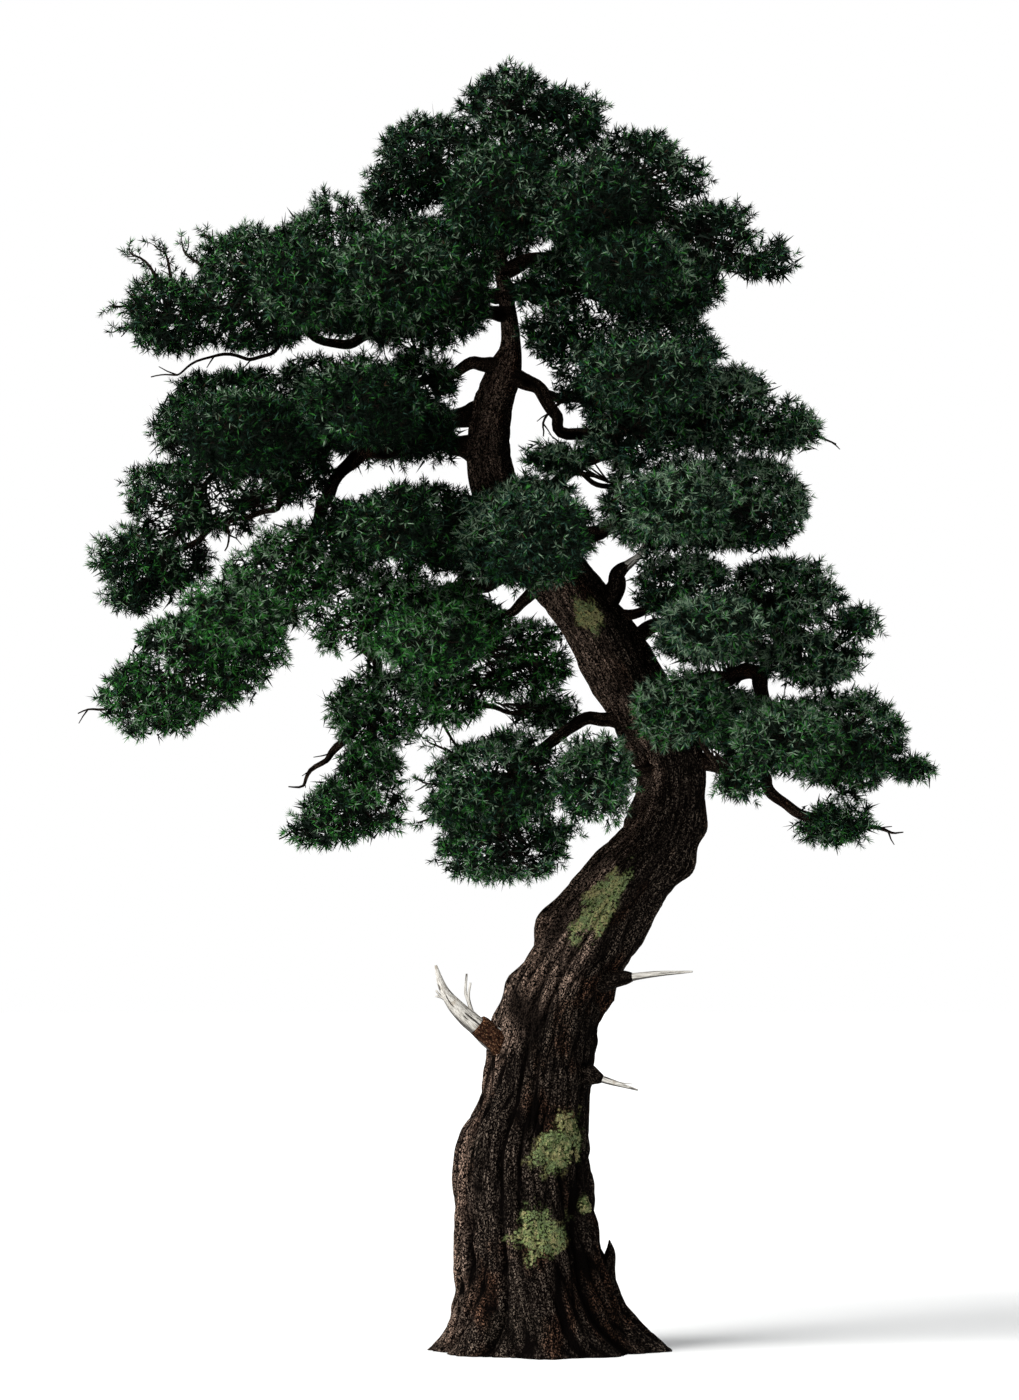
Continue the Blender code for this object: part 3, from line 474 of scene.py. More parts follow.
# What makes their borders ragged: (bays round the trunk, length of a bay, share, seed).
BAYS = (
    (36, 0.11, 1.0, 6),
    (90, 0.04, 0.6, 7),
)
LICHEN_RAGGED = 0.26
LICHEN_THINS = 0.75  # share of the way in over which a crust grows thick
LICHEN_SIDE = 0.1  # crusts stop this share of the half depth short of the trunk's sides
flat_x = trunk_rings[..., 0]
flat_z = trunk_rings[..., 2]
ragged = 0.0
for around, length, share, seed in BAYS:
    bays = lattice_noise(bearing / math.tau * around, along / length, around, SEED + seed)
    ragged = ragged + share * bays
lichen = np.zeros(bearing.shape)
for x_at, z_at, half_length, half_width, tilt, side in LICHEN_PATCHES:
    lean_x = math.sin(math.radians(tilt))
    lean_z = math.cos(math.radians(tilt))
    lengthwise = ((flat_x - x_at) * lean_x + (flat_z - z_at) * lean_z) / half_length
    crosswise = ((flat_x - x_at) * lean_z - (flat_z - z_at) * lean_x) / half_width
    faces_side = np.sin(bearing) * side > LICHEN_SIDE
    cover = 1 - np.hypot(lengthwise, crosswise) + LICHEN_RAGGED * ragged
    lichen = np.maximum(lichen, np.clip(cover / LICHEN_THINS, 0, 1) * faces_side)

PLATE_COLOUR = (0.0026, 0.0018, 0.0014, 1.0)
RED_BARK_COLOUR = (0.230, 0.118, 0.072, 1.0)
SUNLIT_BARK_COLOUR = (0.720, 0.500, 0.380, 1.0)
GREY_BARK_COLOUR = (0.235, 0.180, 0.138, 1.0)
CRACK_SPECK_AND_SHADE_COLOUR = (0.0015, 0.0010, 0.0008, 1.0)
LICHEN_COLOUR = (0.170, 0.230, 0.084, 1.0)
OCHRE_COLOUR = (0.330, 0.300, 0.125, 1.0)
BARK_GLOSS = 0.015


def new_group(name, inputs, outputs):
    """An empty node group with its named sockets, and the nodes that stand for them inside it."""
    group = bpy.data.node_groups.new(name, "ShaderNodeTree")
    for socket, kind, value in inputs:
        new_socket = group.interface.new_socket(socket, in_out="INPUT", socket_type="NodeSocket" + kind)
        if value is not None:
            new_socket.default_value = value
    for socket, kind in outputs:
        group.interface.new_socket(socket, in_out="OUTPUT", socket_type="NodeSocket" + kind)
    return group, group.nodes.new("NodeGroupInput"), group.nodes.new("NodeGroupOutput")


def ramp(tree, value, low, high, out_low=0.0, out_high=1.0):
    """A value stretched from one range to another, smoothly and no further."""
    limits = {"From_Min": low, "From_Max": high, "To_Min": out_low, "To_Max": out_high}
    node = add_node(tree, "MapRange", {"interpolation_type": "SMOOTHSTEP"}, Value=value, **limits)
    return node.outputs["Result"]


def mix(tree, share, first, second):
    """Two colours mixed by a share."""
    node = add_node(tree, "Mix", {"data_type": "RGBA"})
    colours = [socket for socket in node.inputs if socket.type == "RGBA"]
    for socket, value in zip((node.inputs[0], *colours), (share, first, second)):
        feed(tree, socket, value)
    return next(socket for socket in node.outputs if socket.type == "RGBA")


def maths(tree, operation, first, second):
    node = add_node(tree, "Math", {"operation": operation})
    for socket, value in zip(node.inputs, (first, second)):
        feed(tree, socket, value)
    return node.outputs[0]


def stretched(tree, place, along=1.0, scale=1.0):
    """A place for a pattern `scale` times finer; `along` below 1 draws it out along the limb."""
    node = add_node(tree, "Mapping", Vector=place, Scale=(scale, scale, scale * along))
    return node.outputs[0]


def cloudy(tree, place, scale, detail, roughness=0.5):
    """Values that drift about a half, over clouds of 1 / scale metres."""
    node = add_node(tree, "TexNoise", Vector=place, Scale=scale, Detail=detail, Roughness=roughness)
    return node.outputs["Fac"]


# Old bark: nearly black plates flecked with grey and reddish scale edges that are drawn out along the limb,
# fine grains, cracks between the scales, long seams and painted shade in the furrows. Above zero, the shading
# input paints shade with fewer flecks; below zero it paints sunlight with paler flecks and more of them.
bark_group, bark_in, bark_out = new_group(
    "old_bark",
    (
        ("Place", "Vector", None),
        ("Furrow", "Float", 0.0),
        ("Painted Shading", "Float", 0.0),
        ("Plate Colour", "Color", PLATE_COLOUR),
        ("Red Colour", "Color", RED_BARK_COLOUR),
        ("Grey Colour", "Color", GREY_BARK_COLOUR),
        ("Crack And Shade Colour", "Color", CRACK_SPECK_AND_SHADE_COLOUR),
    ),
    (("Colour", "Color"), ("Roughness", "Float"), ("Height", "Float")),
)
bark_place = bark_in.outputs["Place"]
dampness = bark_in.outputs["Painted Shading"]
drawn_out = stretched(bark_group, bark_place, 0.62)
blotches = cloudy(bark_group, stretched(bark_group, bark_place, 0.6), 2.6, 4.0)
patches = cloudy(bark_group, stretched(bark_group, bark_place, 0.5), 7.0, 3.0)
flecks = cloudy(bark_group, drawn_out, 90.0, 2.5, 0.55)
grains = cloudy(bark_group, drawn_out, 190.0, 2.0)
scales = add_node(bark_group, "TexVoronoi", {"feature": "DISTANCE_TO_EDGE"}, Vector=drawn_out, Scale=30.0)
crack = ramp(bark_group, scales.outputs["Distance"], 0.02, 0.13, 1.0, 0.0)
seams = cloudy(bark_group, stretched(bark_group, bark_place, 0.09), 27.0, 3.0)
seam = ramp(bark_group, seams, 0.39, 0.46, 1.0, 0.0)
reddened = ramp(bark_group, blotches, 0.50, 0.62)
fleck_colour = mix(bark_group, reddened, bark_in.outputs["Grey Colour"], bark_in.outputs["Red Colour"])
# Painted sunlight where the shading input is below zero.
sunlit = ramp(bark_group, dampness, -1.0, 0.0, 1.0, 0.0)
painted_sunlight_share = maths(bark_group, "MULTIPLY", sunlit, 0.7)
fleck_colour = mix(bark_group, painted_sunlight_share, fleck_colour, SUNLIT_BARK_COLOUR)
lifted = maths(bark_group, "ADD", flecks, maths(bark_group, "MULTIPLY", sunlit, 0.04))
fleck_share = ramp(bark_group, lifted, 0.51, 0.575)
# What thins the flecks out: (a value, its range, the share of them left at each end of the range).
for thinning in (
    (patches, 0.34, 0.62, 0.45, 1.0),
    # Painted shade: fewer flecks where the shading input is above zero.
    (dampness, 0.0, 0.9, 1.0, 0.45),
    (grains, 0.40, 0.56, 0.15, 1.0),
):
    fleck_share = maths(bark_group, "MULTIPLY", fleck_share, ramp(bark_group, *thinning))
flecked = mix(bark_group, fleck_share, bark_in.outputs["Plate Colour"], fleck_colour)
# Cracks and seams are the bark's own dark marks; the furrow input is painted shade.
darkness = maths(bark_group, "MAXIMUM", maths(bark_group, "MULTIPLY", crack, 0.8), bark_in.outputs["Furrow"])
darkness = maths(bark_group, "MAXIMUM", darkness, maths(bark_group, "MULTIPLY", seam, 0.85))
bark_colour = mix(bark_group, darkness, flecked, bark_in.outputs["Crack And Shade Colour"])
relief = flecks
for operation, form, height in (("SUBTRACT", crack, 0.45), ("ADD", grains, 0.3), ("SUBTRACT", seam, 0.6)):
    relief = maths(bark_group, operation, relief, maths(bark_group, "MULTIPLY", form, height))
bark_roughness = ramp(bark_group, flecks, 0.3, 0.7, 0.80, 0.95)
bark_group.links.new(bark_colour, bark_out.inputs["Colour"])
bark_group.links.new(bark_roughness, bark_out.inputs["Roughness"])
bark_group.links.new(relief, bark_out.inputs["Height"])


def new_material(name):
    """A material with its node tree and its shader."""
    material = bpy.data.materials.new(name)
    material.use_nodes = True
    return material, material.node_tree, material.node_tree.nodes["Principled BSDF"]


def bumped(tree, shader, height, strength, distance):
    bump = add_node(tree, "Bump", Height=height, Strength=strength, Distance=distance)
    tree.links.new(bump.outputs[0], shader.inputs["Normal"])


def mark_at(tree, name, output="Fac"):
    """The values of one name that a mesh keeps at its points."""
    return add_node(tree, "Attribute", {"attribute_name": name}).outputs[output]


def dress_in_bark(tree, shader, place, furrow, relief, colours=(), gloss=BARK_GLOSS):
    """The old_bark group on a shader: its relief's strength and depth, and colours where it has its own."""
    node = add_node(tree, "Group", {"node_tree": bark_group}, Place=place, Furrow=furrow)
    for name, colour in dict(colours).items():
        node.inputs[name].default_value = colour
    tree.links.new(node.outputs["Colour"], shader.inputs["Base Color"])
    tree.links.new(node.outputs["Roughness"], shader.inputs["Roughness"])
    shader.inputs["Specular IOR Level"].default_value = gloss
    bumped(tree, shader, node.outputs["Height"], *relief)
    return node


def lichen_tints(tree, place, scale, detail, low):
    """Grey-green lichen that turns to ochre in places."""
    tint = cloudy(tree, place, scale, detail)
    return mix(tree, ramp(tree, tint, low, 0.65), LICHEN_COLOUR, OCHRE_COLOUR)


trunk_bark, tree, shader = new_material("trunk_bark")
place = mark_at(tree, "grain", "Vector")
trunk_damp = mark_at(tree, "damp")
trunk_nodes = dress_in_bark(tree, shader, place, mark_at(tree, "furrow"), (0.8, 0.014))
tree.links.new(trunk_damp, trunk_nodes.inputs["Painted Shading"])
crust = cloudy(tree, place, 46.0, 2.0)
crust_colour = lichen_tints(tree, place, 5.0, 2.0, 0.45)
crust_colour = mix(tree, ramp(tree, crust, 0.43, 0.58, 0.92, 0.0), crust_colour, CRACK_SPECK_AND_SHADE_COLOUR)
# Painted shade: the crusts darken on the trunk's shaded right side.
crust_colour = mix(tree, ramp(tree, trunk_damp, 0.2, 1.0, 0.0, 0.75), crust_colour, CRACK_SPECK_AND_SHADE_COLOUR)
crust_share = ramp(tree, maths(tree, "MULTIPLY", mark_at(tree, "lichen"), crust), 0.10, 0.42)
crusted = mix(tree, crust_share, trunk_nodes.outputs["Colour"], crust_colour)
tree.links.new(crusted, shader.inputs["Base Color"])

# The furrow mark is painted shade, deep in the bark's furrows and in the creases between the folds; the
# shading mark is painted shade on the right side and, below zero, painted sunlight on the left.
points, triangles = skin(trunk_rings)
trunk = add_piece(
    "trunk_bark",
    points,
    triangles,
    [trunk_bark],
    grain=with_ends(trunk_grain),
    furrow=with_ends(np.maximum(np.clip(FURROW_DARK - bark_height / FURROW_SHADE, 0, 1), creases)),
    damp=with_ends(damp),
    lichen=with_ends(lichen),
)
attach(trunk, "root")
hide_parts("trunk")

# ---------------------------------------------------------------------------
# Lichen: small leafy flakes by the thousand that sit on the crusts, each curled up round its rim and held to
# the bark at its middle.
# ---------------------------------------------------------------------------
FLAKES = 2200
FLAKE_SIZE = (0.007, 0.017)
FLAKE_LOBES = (0.6, 1.3)  # how far its rim reaches from lobe to lobe, beside its size
FLAKE_SIDES = 6
FLAKE_LIFT = 0.70  # of its size, for the most that its rim curls up
FLAKE_SCATTER = 0.009
FLAKE_STANDS = 0.003  # how far its middle stands off the bark
THICK_CRUST = 0.50  # flakes sit where the crust is thicker than this


def normals_of(piece):
    """The direction in which a piece's surface faces at each of its points."""
    normals = np.empty(len(piece.data.vertices) * 3)
    piece.data.vertex_normals.foreach_get("vector", normals)
    return normals.reshape(-1, 3)


def square_to(course, aside):
    """Two directions square to a course and to each other; `aside` is any direction that isn't along it."""
    across = unit(np.cross(course, aside))
    return across, np.cross(course, across)


dice = np.random.default_rng(SEED + 20)
covered = np.flatnonzero(lichen.ravel() > THICK_CRUST)
chosen = dice.choice(covered, FLAKES)
flake_up = normals_of(trunk)[chosen]
flake_side, flake_beside = square_to(flake_up, dice.normal(size=(FLAKES, 3)))
scatter = dice.normal(0, FLAKE_SCATTER, (FLAKES, 2))
flake_heart = trunk_rings.reshape(-1, 3)[chosen] + flake_side * scatter[:, :1] + flake_beside * scatter[:, 1:]
turns = np.arange(FLAKE_SIDES) * math.tau / FLAKE_SIDES
flake_size = dice.uniform(*FLAKE_SIZE, (FLAKES, 1)) * dice.uniform(*FLAKE_LOBES, (FLAKES, FLAKE_SIDES))
rim = round_axis(flake_side[:, None], flake_beside[:, None], turns)
rim = rim + flake_up[:, None] * dice.uniform(0, FLAKE_LIFT, (FLAKES, FLAKE_SIDES, 1))
rim = flake_heart[:, None] + rim * flake_size[..., None]
flake_points = np.concatenate([flake_heart[:, None] + flake_up[:, None] * FLAKE_STANDS, rim], axis=1)
spoke = np.arange(FLAKE_SIDES)
one_flake = np.stack([np.zeros(FLAKE_SIDES, int), 1 + spoke, 1 + (spoke + 1) % FLAKE_SIDES], axis=1)
flake_triangles = one_flake + (np.arange(FLAKES) * (FLAKE_SIDES + 1))[:, None, None]

lichen_flakes, tree, shader = new_material("lichen_flakes")
place = add_node(tree, "TexCoord").outputs["Object"]
flake_colour = lichen_tints(tree, place, 9.0, 3.0, 0.4)
powder = cloudy(tree, place, 160.0, 2.0)
flake_colour = mix(tree, ramp(tree, powder, 0.42, 0.60, 0.0, 0.88), flake_colour, CRACK_SPECK_AND_SHADE_COLOUR)
tree.links.new(flake_colour, shader.inputs["Base Color"])
shader.inputs["Roughness"].default_value = 0.95
bumped(tree, shader, powder, 0.4, 0.004)

flakes = add_piece("lichen", flake_points.reshape(-1, 3), flake_triangles.reshape(-1, 3), [lichen_flakes])
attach(flakes, "root")

# ---------------------------------------------------------------------------
# Boughs: tapering limbs that leave the trunk in a swollen collar and wander out to their pads of foliage.
# Their bark is thinner than the trunk's, ridged along the limb and knotted.
# ---------------------------------------------------------------------------
# Name, height where it leaves the trunk, points that it passes, radius at the trunk and at the tip.
BOUGHS = (
    ("crown_right", 10.05, ((0.35, 0.05, 10.32),), 0.062, 0.034),
    ("fan_inner", 9.66, ((-0.70, -0.20, 9.64),), 0.062, 0.040),
    ("fan_outer", 10.32, ((-0.80, 0.48, 9.68), (-1.50, 0.62, 9.48), (-2.05, 0.40, 9.44)), 0.066, 0.032),
    ("fan_back", 9.85, ((-0.75, 0.80, 9.80),), 0.062, 0.036),
    ("shelf_inner", 9.12, ((-0.60, -0.08, 9.21), (-0.88, -0.14, 9.06)), 0.062, 0.042),
    ("shelf_outer", 8.75, ((-1.15, 0.58, 8.66), (-1.95, 0.56, 8.62)), 0.092, 0.050),
    ("shelf_back", 8.05, ((-0.58, 0.55, 8.30), (-0.95, 1.00, 8.50)), 0.080, 0.044),
    ("left_low", 8.40, ((-1.02, 0.22, 8.44), (-1.72, 0.02, 8.31), (-1.99, -0.12, 7.90)), 0.092, 0.048),
    ("hanging_left", 7.45, ((-0.30, 0.55, 7.25), (-0.98, 0.62, 7.02), (-1.64, 0.45, 6.72),
        (-1.50, 0.22, 6.32)), 0.085, 0.045),
    ("lower_left", 5.86, ((0.50, -0.14, 5.88), (0.30, -0.14, 5.80), (0.06, -0.14, 5.64)), 0.066, 0.046),
    ("right_fork", 9.06, ((-0.03, -0.14, 8.97), (0.14, -0.26, 8.69), (0.27, -0.34, 8.51)), 0.062, 0.050),
    ("right_fork_outer", 7.92, ((0.12, 0.48, 8.10), (0.62, 0.50, 8.36), (1.10, 0.38, 8.58)), 0.080, 0.042),
    ("right_mid", 7.70, ((0.28, 0.05, 7.58),), 0.095, 0.055),
    ("right_shelf_outer", 6.55, ((1.15, 0.55, 6.74), (1.75, 0.35, 6.76)), 0.085, 0.046),
    ("right_low", 5.95, ((1.50, 0.48, 6.20), (2.02, 0.30, 6.28)), 0.100, 0.058),
    ("right_low_tip", 5.45, ((1.96, -0.10, 5.42), (2.12, -0.20, 5.20), (2.36, -0.26, 5.06)), 0.080, 0.040),
    ("back_low", 5.75, ((1.05, 0.85, 5.80),), 0.085, 0.048),
)
# Masses of foliage: name, where its stem starts (its own bough, a height on the trunk or the trunk's tip),
# lobes, and bare twigs that stand out of it. A lobe is (x, y, z, half its width, half its depth, half its
# height), and each lobe's limb starts from the lobe before it, or from the lobe whose number comes seventh.
# A bare twig is (number of its lobe, points to its tip), with its radius at the start where it is stouter.
MASSES = (
    ("crown_tip", "tip", (
        (-0.29, 0.02, 11.60, 0.48, 0.60, 0.40),
        (0.22, -0.05, 11.43, 0.47, 0.60, 0.39),
        (-0.12, -0.25, 11.16, 0.54, 0.56, 0.32, 0)), ()),
    ("crown_left", 10.75, (
        (-0.97, 0.05, 11.06, 0.62, 0.85, 0.51),
        (-1.34, -0.10, 10.78, 0.38, 0.60, 0.32)), ()),
    ("crown_front", 10.45, (
        (-0.35, -1.00, 10.66, 0.62, 0.70, 0.56),
        (0.50, -1.40, 10.56, 0.55, 0.65, 0.54)), ()),
    ("crown_back", 10.60, (
        (-0.35, 1.05, 10.70, 0.66, 0.72, 0.54),
        (0.60, 1.45, 10.55, 0.60, 0.68, 0.52),
        (1.10, 2.05, 10.00, 0.60, 0.62, 0.42)), ()),
    ("crown_right", "bough", (
        (0.87, 0.00, 10.86, 0.74, 0.90, 0.57),
        (1.55, -0.05, 10.35, 0.52, 0.78, 0.44),
        (2.03, -0.05, 10.13, 0.42, 0.48, 0.21)), ()),
    ("crown_low", 9.85, (
        (0.36, -0.55, 9.90, 0.56, 0.62, 0.46),
        (1.08, -0.60, 9.89, 0.62, 0.75, 0.38),
        (0.85, -1.70, 10.00, 0.56, 0.60, 0.38),
        (-0.08, -0.45, 9.85, 0.27, 0.32, 0.17, 0)), ()),
    ("fan_inner", "bough", (
        (-1.10, -0.32, 9.90, 0.78, 0.90, 0.74),
        (-1.92, -0.38, 10.03, 0.76, 0.88, 0.72),
        (-1.30, -1.62, 9.92, 0.66, 0.66, 0.52, 0),
        (-2.15, -1.62, 9.86, 0.54, 0.60, 0.48, 1)), ()),
    ("fan_outer", "bough", (
        (-2.61, 0.10, 9.88, 0.74, 0.95, 0.69),
        (-3.42, 0.05, 9.63, 0.50, 0.70, 0.47)), (
            (0, ((-2.46, 0.10, 9.32), (-3.08, 0.12, 9.25), (-3.34, 0.12, 9.13), (-3.63, 0.10, 9.07))),
            (1, ((-3.98, 0.00, 9.48),)),
            (1, ((-3.85, 0.05, 9.74), (-4.02, 0.05, 9.73))),
            (1, ((-3.66, 0.08, 10.08), (-3.84, 0.10, 10.26))),
            (1, ((-3.48, 0.05, 10.12), (-3.60, 0.05, 10.30))),
            (0, ((-3.20, 0.05, 10.10), (-3.34, 0.05, 10.34))),
            (0, ((-3.00, 0.10, 10.26), (-3.14, 0.12, 10.42))))),
    ("fan_back", "bough", (
        (-1.15, 1.50, 10.02, 0.75, 0.78, 0.56),
        (-1.95, 1.55, 9.92, 0.55, 0.62, 0.48),
        (-1.55, 2.45, 9.85, 0.58, 0.55, 0.42, 0)), ()),
    ("shelf_inner", "bough", (
        (-1.14, -0.20, 9.00, 0.45, 0.60, 0.33),
        (-1.60, -0.40, 8.80, 0.68, 0.90, 0.49),
        (-1.08, -0.44, 8.57, 0.40, 0.60, 0.38),
        (-1.62, -1.72, 8.72, 0.62, 0.64, 0.42, 1)), ()),
    ("shelf_outer", "bough", (
        (-2.76, 0.20, 8.61, 0.97, 1.05, 0.60),
        (-3.20, 0.10, 7.96, 0.73, 0.90, 0.49),
        (-3.62, 0.10, 7.34, 0.64, 0.68, 0.41),
        (-2.29, -0.10, 8.19, 0.42, 0.55, 0.40),
        (-2.72, -1.32, 8.50, 0.66, 0.58, 0.44, 0),
        (-2.72, 1.72, 8.55, 0.66, 0.60, 0.44, 0),
        (-2.14, -0.02, 8.92, 0.44, 0.52, 0.39, 0),
        (-3.80, 0.05, 7.03, 0.34, 0.40, 0.17, 2)), (
            (3, ((-2.42, -0.20, 7.90), (-2.64, -0.20, 7.79), (-2.87, -0.20, 7.68), (-2.86, -0.20, 7.58),
                (-2.93, -0.20, 7.44)), 0.045),)),
    ("shelf_back", "bough", (
        (-1.52, 1.70, 8.72, 0.72, 0.80, 0.46),
        (-1.45, 2.70, 8.62, 0.55, 0.50, 0.38, 0)), ()),
    ("left_low", "bough", (
        (-2.32, -0.40, 7.19, 0.58, 0.72, 0.54),
        (-3.10, -0.30, 6.55, 0.80, 0.72, 0.39),
        (-3.53, -0.15, 6.11, 0.60, 0.60, 0.49),
        (-2.94, -0.25, 6.28, 0.43, 0.55, 0.34),
        (-2.75, -1.35, 6.88, 0.54, 0.52, 0.40, 0),
        (-2.92, 0.82, 6.75, 0.56, 0.52, 0.38, 1)), (
            (2, ((-4.02, -0.10, 6.00), (-4.30, -0.10, 5.93))),)),
    ("centre_left", 7.95, (
        (-1.02, -0.50, 7.67, 0.52, 0.70, 0.50),
        (-1.76, -0.55, 7.57, 0.46, 0.60, 0.39),
        (-1.35, -1.62, 7.66, 0.50, 0.54, 0.40, 0)), ()),
    ("centre_low", 7.25, (
        (-0.68, -0.02, 6.73, 0.45, 0.56, 0.43),
        (-1.43, -0.32, 6.85, 0.84, 0.70, 0.50),
        (-0.10, 0.10, 6.41, 0.46, 0.52, 0.47),
        (-0.94, -0.15, 6.12, 0.52, 0.58, 0.42),
        (0.06, 0.38, 5.96, 0.36, 0.36, 0.24),
        (-0.98, -1.30, 6.60, 0.56, 0.52, 0.42, 1)), (
            (3, ((-0.88, -0.15, 5.74), (-0.69, -0.15, 5.54))),)),
    ("front_centre", 7.60, (
        (-0.14, -1.12, 7.56, 0.66, 0.70, 0.60),
        (0.00, -2.05, 7.58, 0.50, 0.52, 0.42)), ()),
    ("hanging_left", "bough", (
        (-1.53, -0.05, 5.95, 0.55, 0.60, 0.49),
        (-1.58, -0.10, 5.42, 0.37, 0.47, 0.30),
        (-1.74, -0.10, 5.02, 0.55, 0.56, 0.38),
        (-2.11, -0.10, 4.85, 0.30, 0.34, 0.18, 2)), (
            (0, ((-1.88, -0.15, 5.66), (-1.98, -0.15, 5.47), (-2.11, -0.15, 5.39), (-2.21, -0.15, 5.26),
                (-2.34, -0.15, 5.25)), 0.060),
            (2, ((-2.43, -0.05, 4.76),)))),
    ("lower_left", "bough", (
        (-0.34, -0.12, 5.29, 0.73, 0.80, 0.54),
        (-0.40, 0.00, 4.65, 0.70, 0.66, 0.36),
        (-0.42, 1.00, 5.05, 0.50, 0.50, 0.36, 0),
        (-0.87, -0.08, 5.07, 0.25, 0.40, 0.23, 0),
        (0.08, -0.05, 4.80, 0.28, 0.34, 0.20, 1)), (
            (0, ((-0.95, -0.10, 5.28), (-1.17, -0.10, 5.33))),
            (0, ((-0.92, -0.05, 4.98), (-1.15, -0.05, 4.91))),
            (0, ((-0.86, -0.15, 5.56), (-1.06, -0.15, 5.68))))),
    ("lower_inner", 5.60, (
        (0.50, -0.62, 5.32, 0.43, 0.58, 0.51),), ()),
    ("right_fork", "bough", (
        (0.84, -0.45, 8.55, 0.52, 0.78, 0.42),
        (0.95, -0.35, 9.29, 0.78, 0.85, 0.46),
        (0.22, -0.27, 9.43, 0.46, 0.52, 0.34),
        (0.98, -1.72, 9.02, 0.64, 0.62, 0.42, 1),
        (0.45, -0.38, 8.98, 0.42, 0.50, 0.31, 1)), (
            (4, ((0.18, -0.36, 8.84), (0.07, -0.34, 8.68), (0.03, -0.32, 8.50))),)),
    ("right_fork_outer", "bough", (
        (1.73, 0.15, 8.74, 0.68, 0.85, 0.51),
        (2.31, 0.00, 8.58, 0.39, 0.45, 0.31)), (
            (1, ((2.76, 0.00, 8.44),)),)),
    ("fork_back", 9.12, (
        (0.98, 1.45, 9.00, 0.64, 0.76, 0.48),
        (1.25, 2.45, 8.88, 0.55, 0.55, 0.40)), ()),
    ("right_mid", "bough", (
        (1.14, -0.25, 7.85, 0.62, 0.95, 0.56),
        (1.90, 0.00, 7.88, 0.67, 0.88, 0.55),
        (0.17, -0.75, 8.28, 0.40, 0.42, 0.21, 0),
        (1.25, -1.62, 7.82, 0.58, 0.58, 0.42, 0),
        (1.55, 1.35, 7.85, 0.60, 0.60, 0.42, 1)), ()),
    ("mid_back", 7.65, (
        (-0.02, 1.35, 7.72, 0.50, 0.80, 0.47),
        (-0.62, 1.40, 7.55, 0.56, 0.66, 0.42),
        (0.05, 2.38, 7.68, 0.60, 0.52, 0.42, 0),
        (-0.90, 1.68, 6.72, 0.64, 0.66, 0.40, 1),
        (-1.48, 1.50, 7.68, 0.60, 0.62, 0.36, 1)), ()),
    ("right_shelf", 6.80, (
        (1.33, -0.30, 7.10, 0.57, 0.68, 0.44),
        (1.50, -0.50, 6.60, 0.54, 0.60, 0.27),
        (1.58, -1.52, 6.72, 0.52, 0.52, 0.36, 0)), ()),
    ("right_shelf_outer", "bough", (
        (2.24, 0.10, 7.01, 0.65, 0.82, 0.45),
        (2.56, 0.10, 6.44, 0.56, 0.75, 0.34),
        (2.95, 0.05, 6.76, 0.28, 0.40, 0.18)), ()),
    ("right_low", "bough", (
        (2.14, 0.05, 5.73, 0.70, 0.90, 0.42),
        (2.82, 0.05, 5.66, 0.66, 0.75, 0.61),
        (3.46, 0.05, 5.41, 0.27, 0.38, 0.15),
        (2.25, -1.30, 5.70, 0.55, 0.54, 0.38, 0),
        (2.80, 1.18, 5.60, 0.50, 0.46, 0.36, 1)), ()),
    ("right_low_front", 6.05, (
        (1.32, -0.95, 5.96, 0.52, 0.55, 0.42),
        (1.82, -0.74, 5.28, 0.26, 0.34, 0.18)), ()),
    ("right_low_tip", "bough", (
        (2.68, -0.30, 4.90, 0.42, 0.48, 0.25),), (
            (0, ((3.12, -0.30, 4.87), (3.37, -0.30, 4.83)), 0.036),)),
    ("back_low", "bough", (
        (1.62, 1.50, 5.92, 0.58, 0.74, 0.42),
        (1.95, 1.50, 6.72, 0.56, 0.65, 0.38)), ()),
)
LIMB_STEP = 0.045
LIMB_WANDER = 0.028  # how far a limb strays from its line
LIMB_WAVES = (0.75, 0.34)  # lengths of the waves in which it strays
LIMB_RIDGES = 0.11  # of its radius
RIDGE_LENGTH = 0.16
RIDGE_SHADE = 1.6  # how soon the bark between the ridges turns dark with painted shade
LIMB_KNOTS = 0.14
KNOTS_ROUND = 3
KNOT_LENGTH = 0.13
KNOT_DIP = -0.2  # how deep the bark may lie between knots, beside their height
LIMB_TAPER = 0.8  # below 1 a limb thins soonest near the trunk
BOUGH_SIDES = 18
COLLAR = 1.35  # a bough swells to this many times its radius where it leaves the trunk
COLLAR_LENGTH = 0.20
STEM_RADIUS = 0.046  # of a stem that starts from the trunk
HEART_RADIUS = 0.034  # of a limb at the heart of its first lobe
BARE_RADIUS = 0.026  # of a bare twig at its start
BARE_TIP_RADIUS = 0.006
PRONG_PLACES = (0.50, 0.66, 0.82)  # along a bare twig, for its side prongs
PRONG_JITTER = 0.06
PRONG_LENGTH = (0.09, 0.20)
PRONG_BEND = 0.010
PRONG_RADII = (0.009, 0.004)
PRONG_SIDES = 5
# The bare twigs that still bear sparse tufts, by mass and number.
TUFTED = {"fan_outer": (1, 2, 3, 4, 5, 6), "lower_left": (0, 1, 2)}
TWIG_TUFTS = 9  # on each of them
TUFT_OUT = (0.05, 0.12)


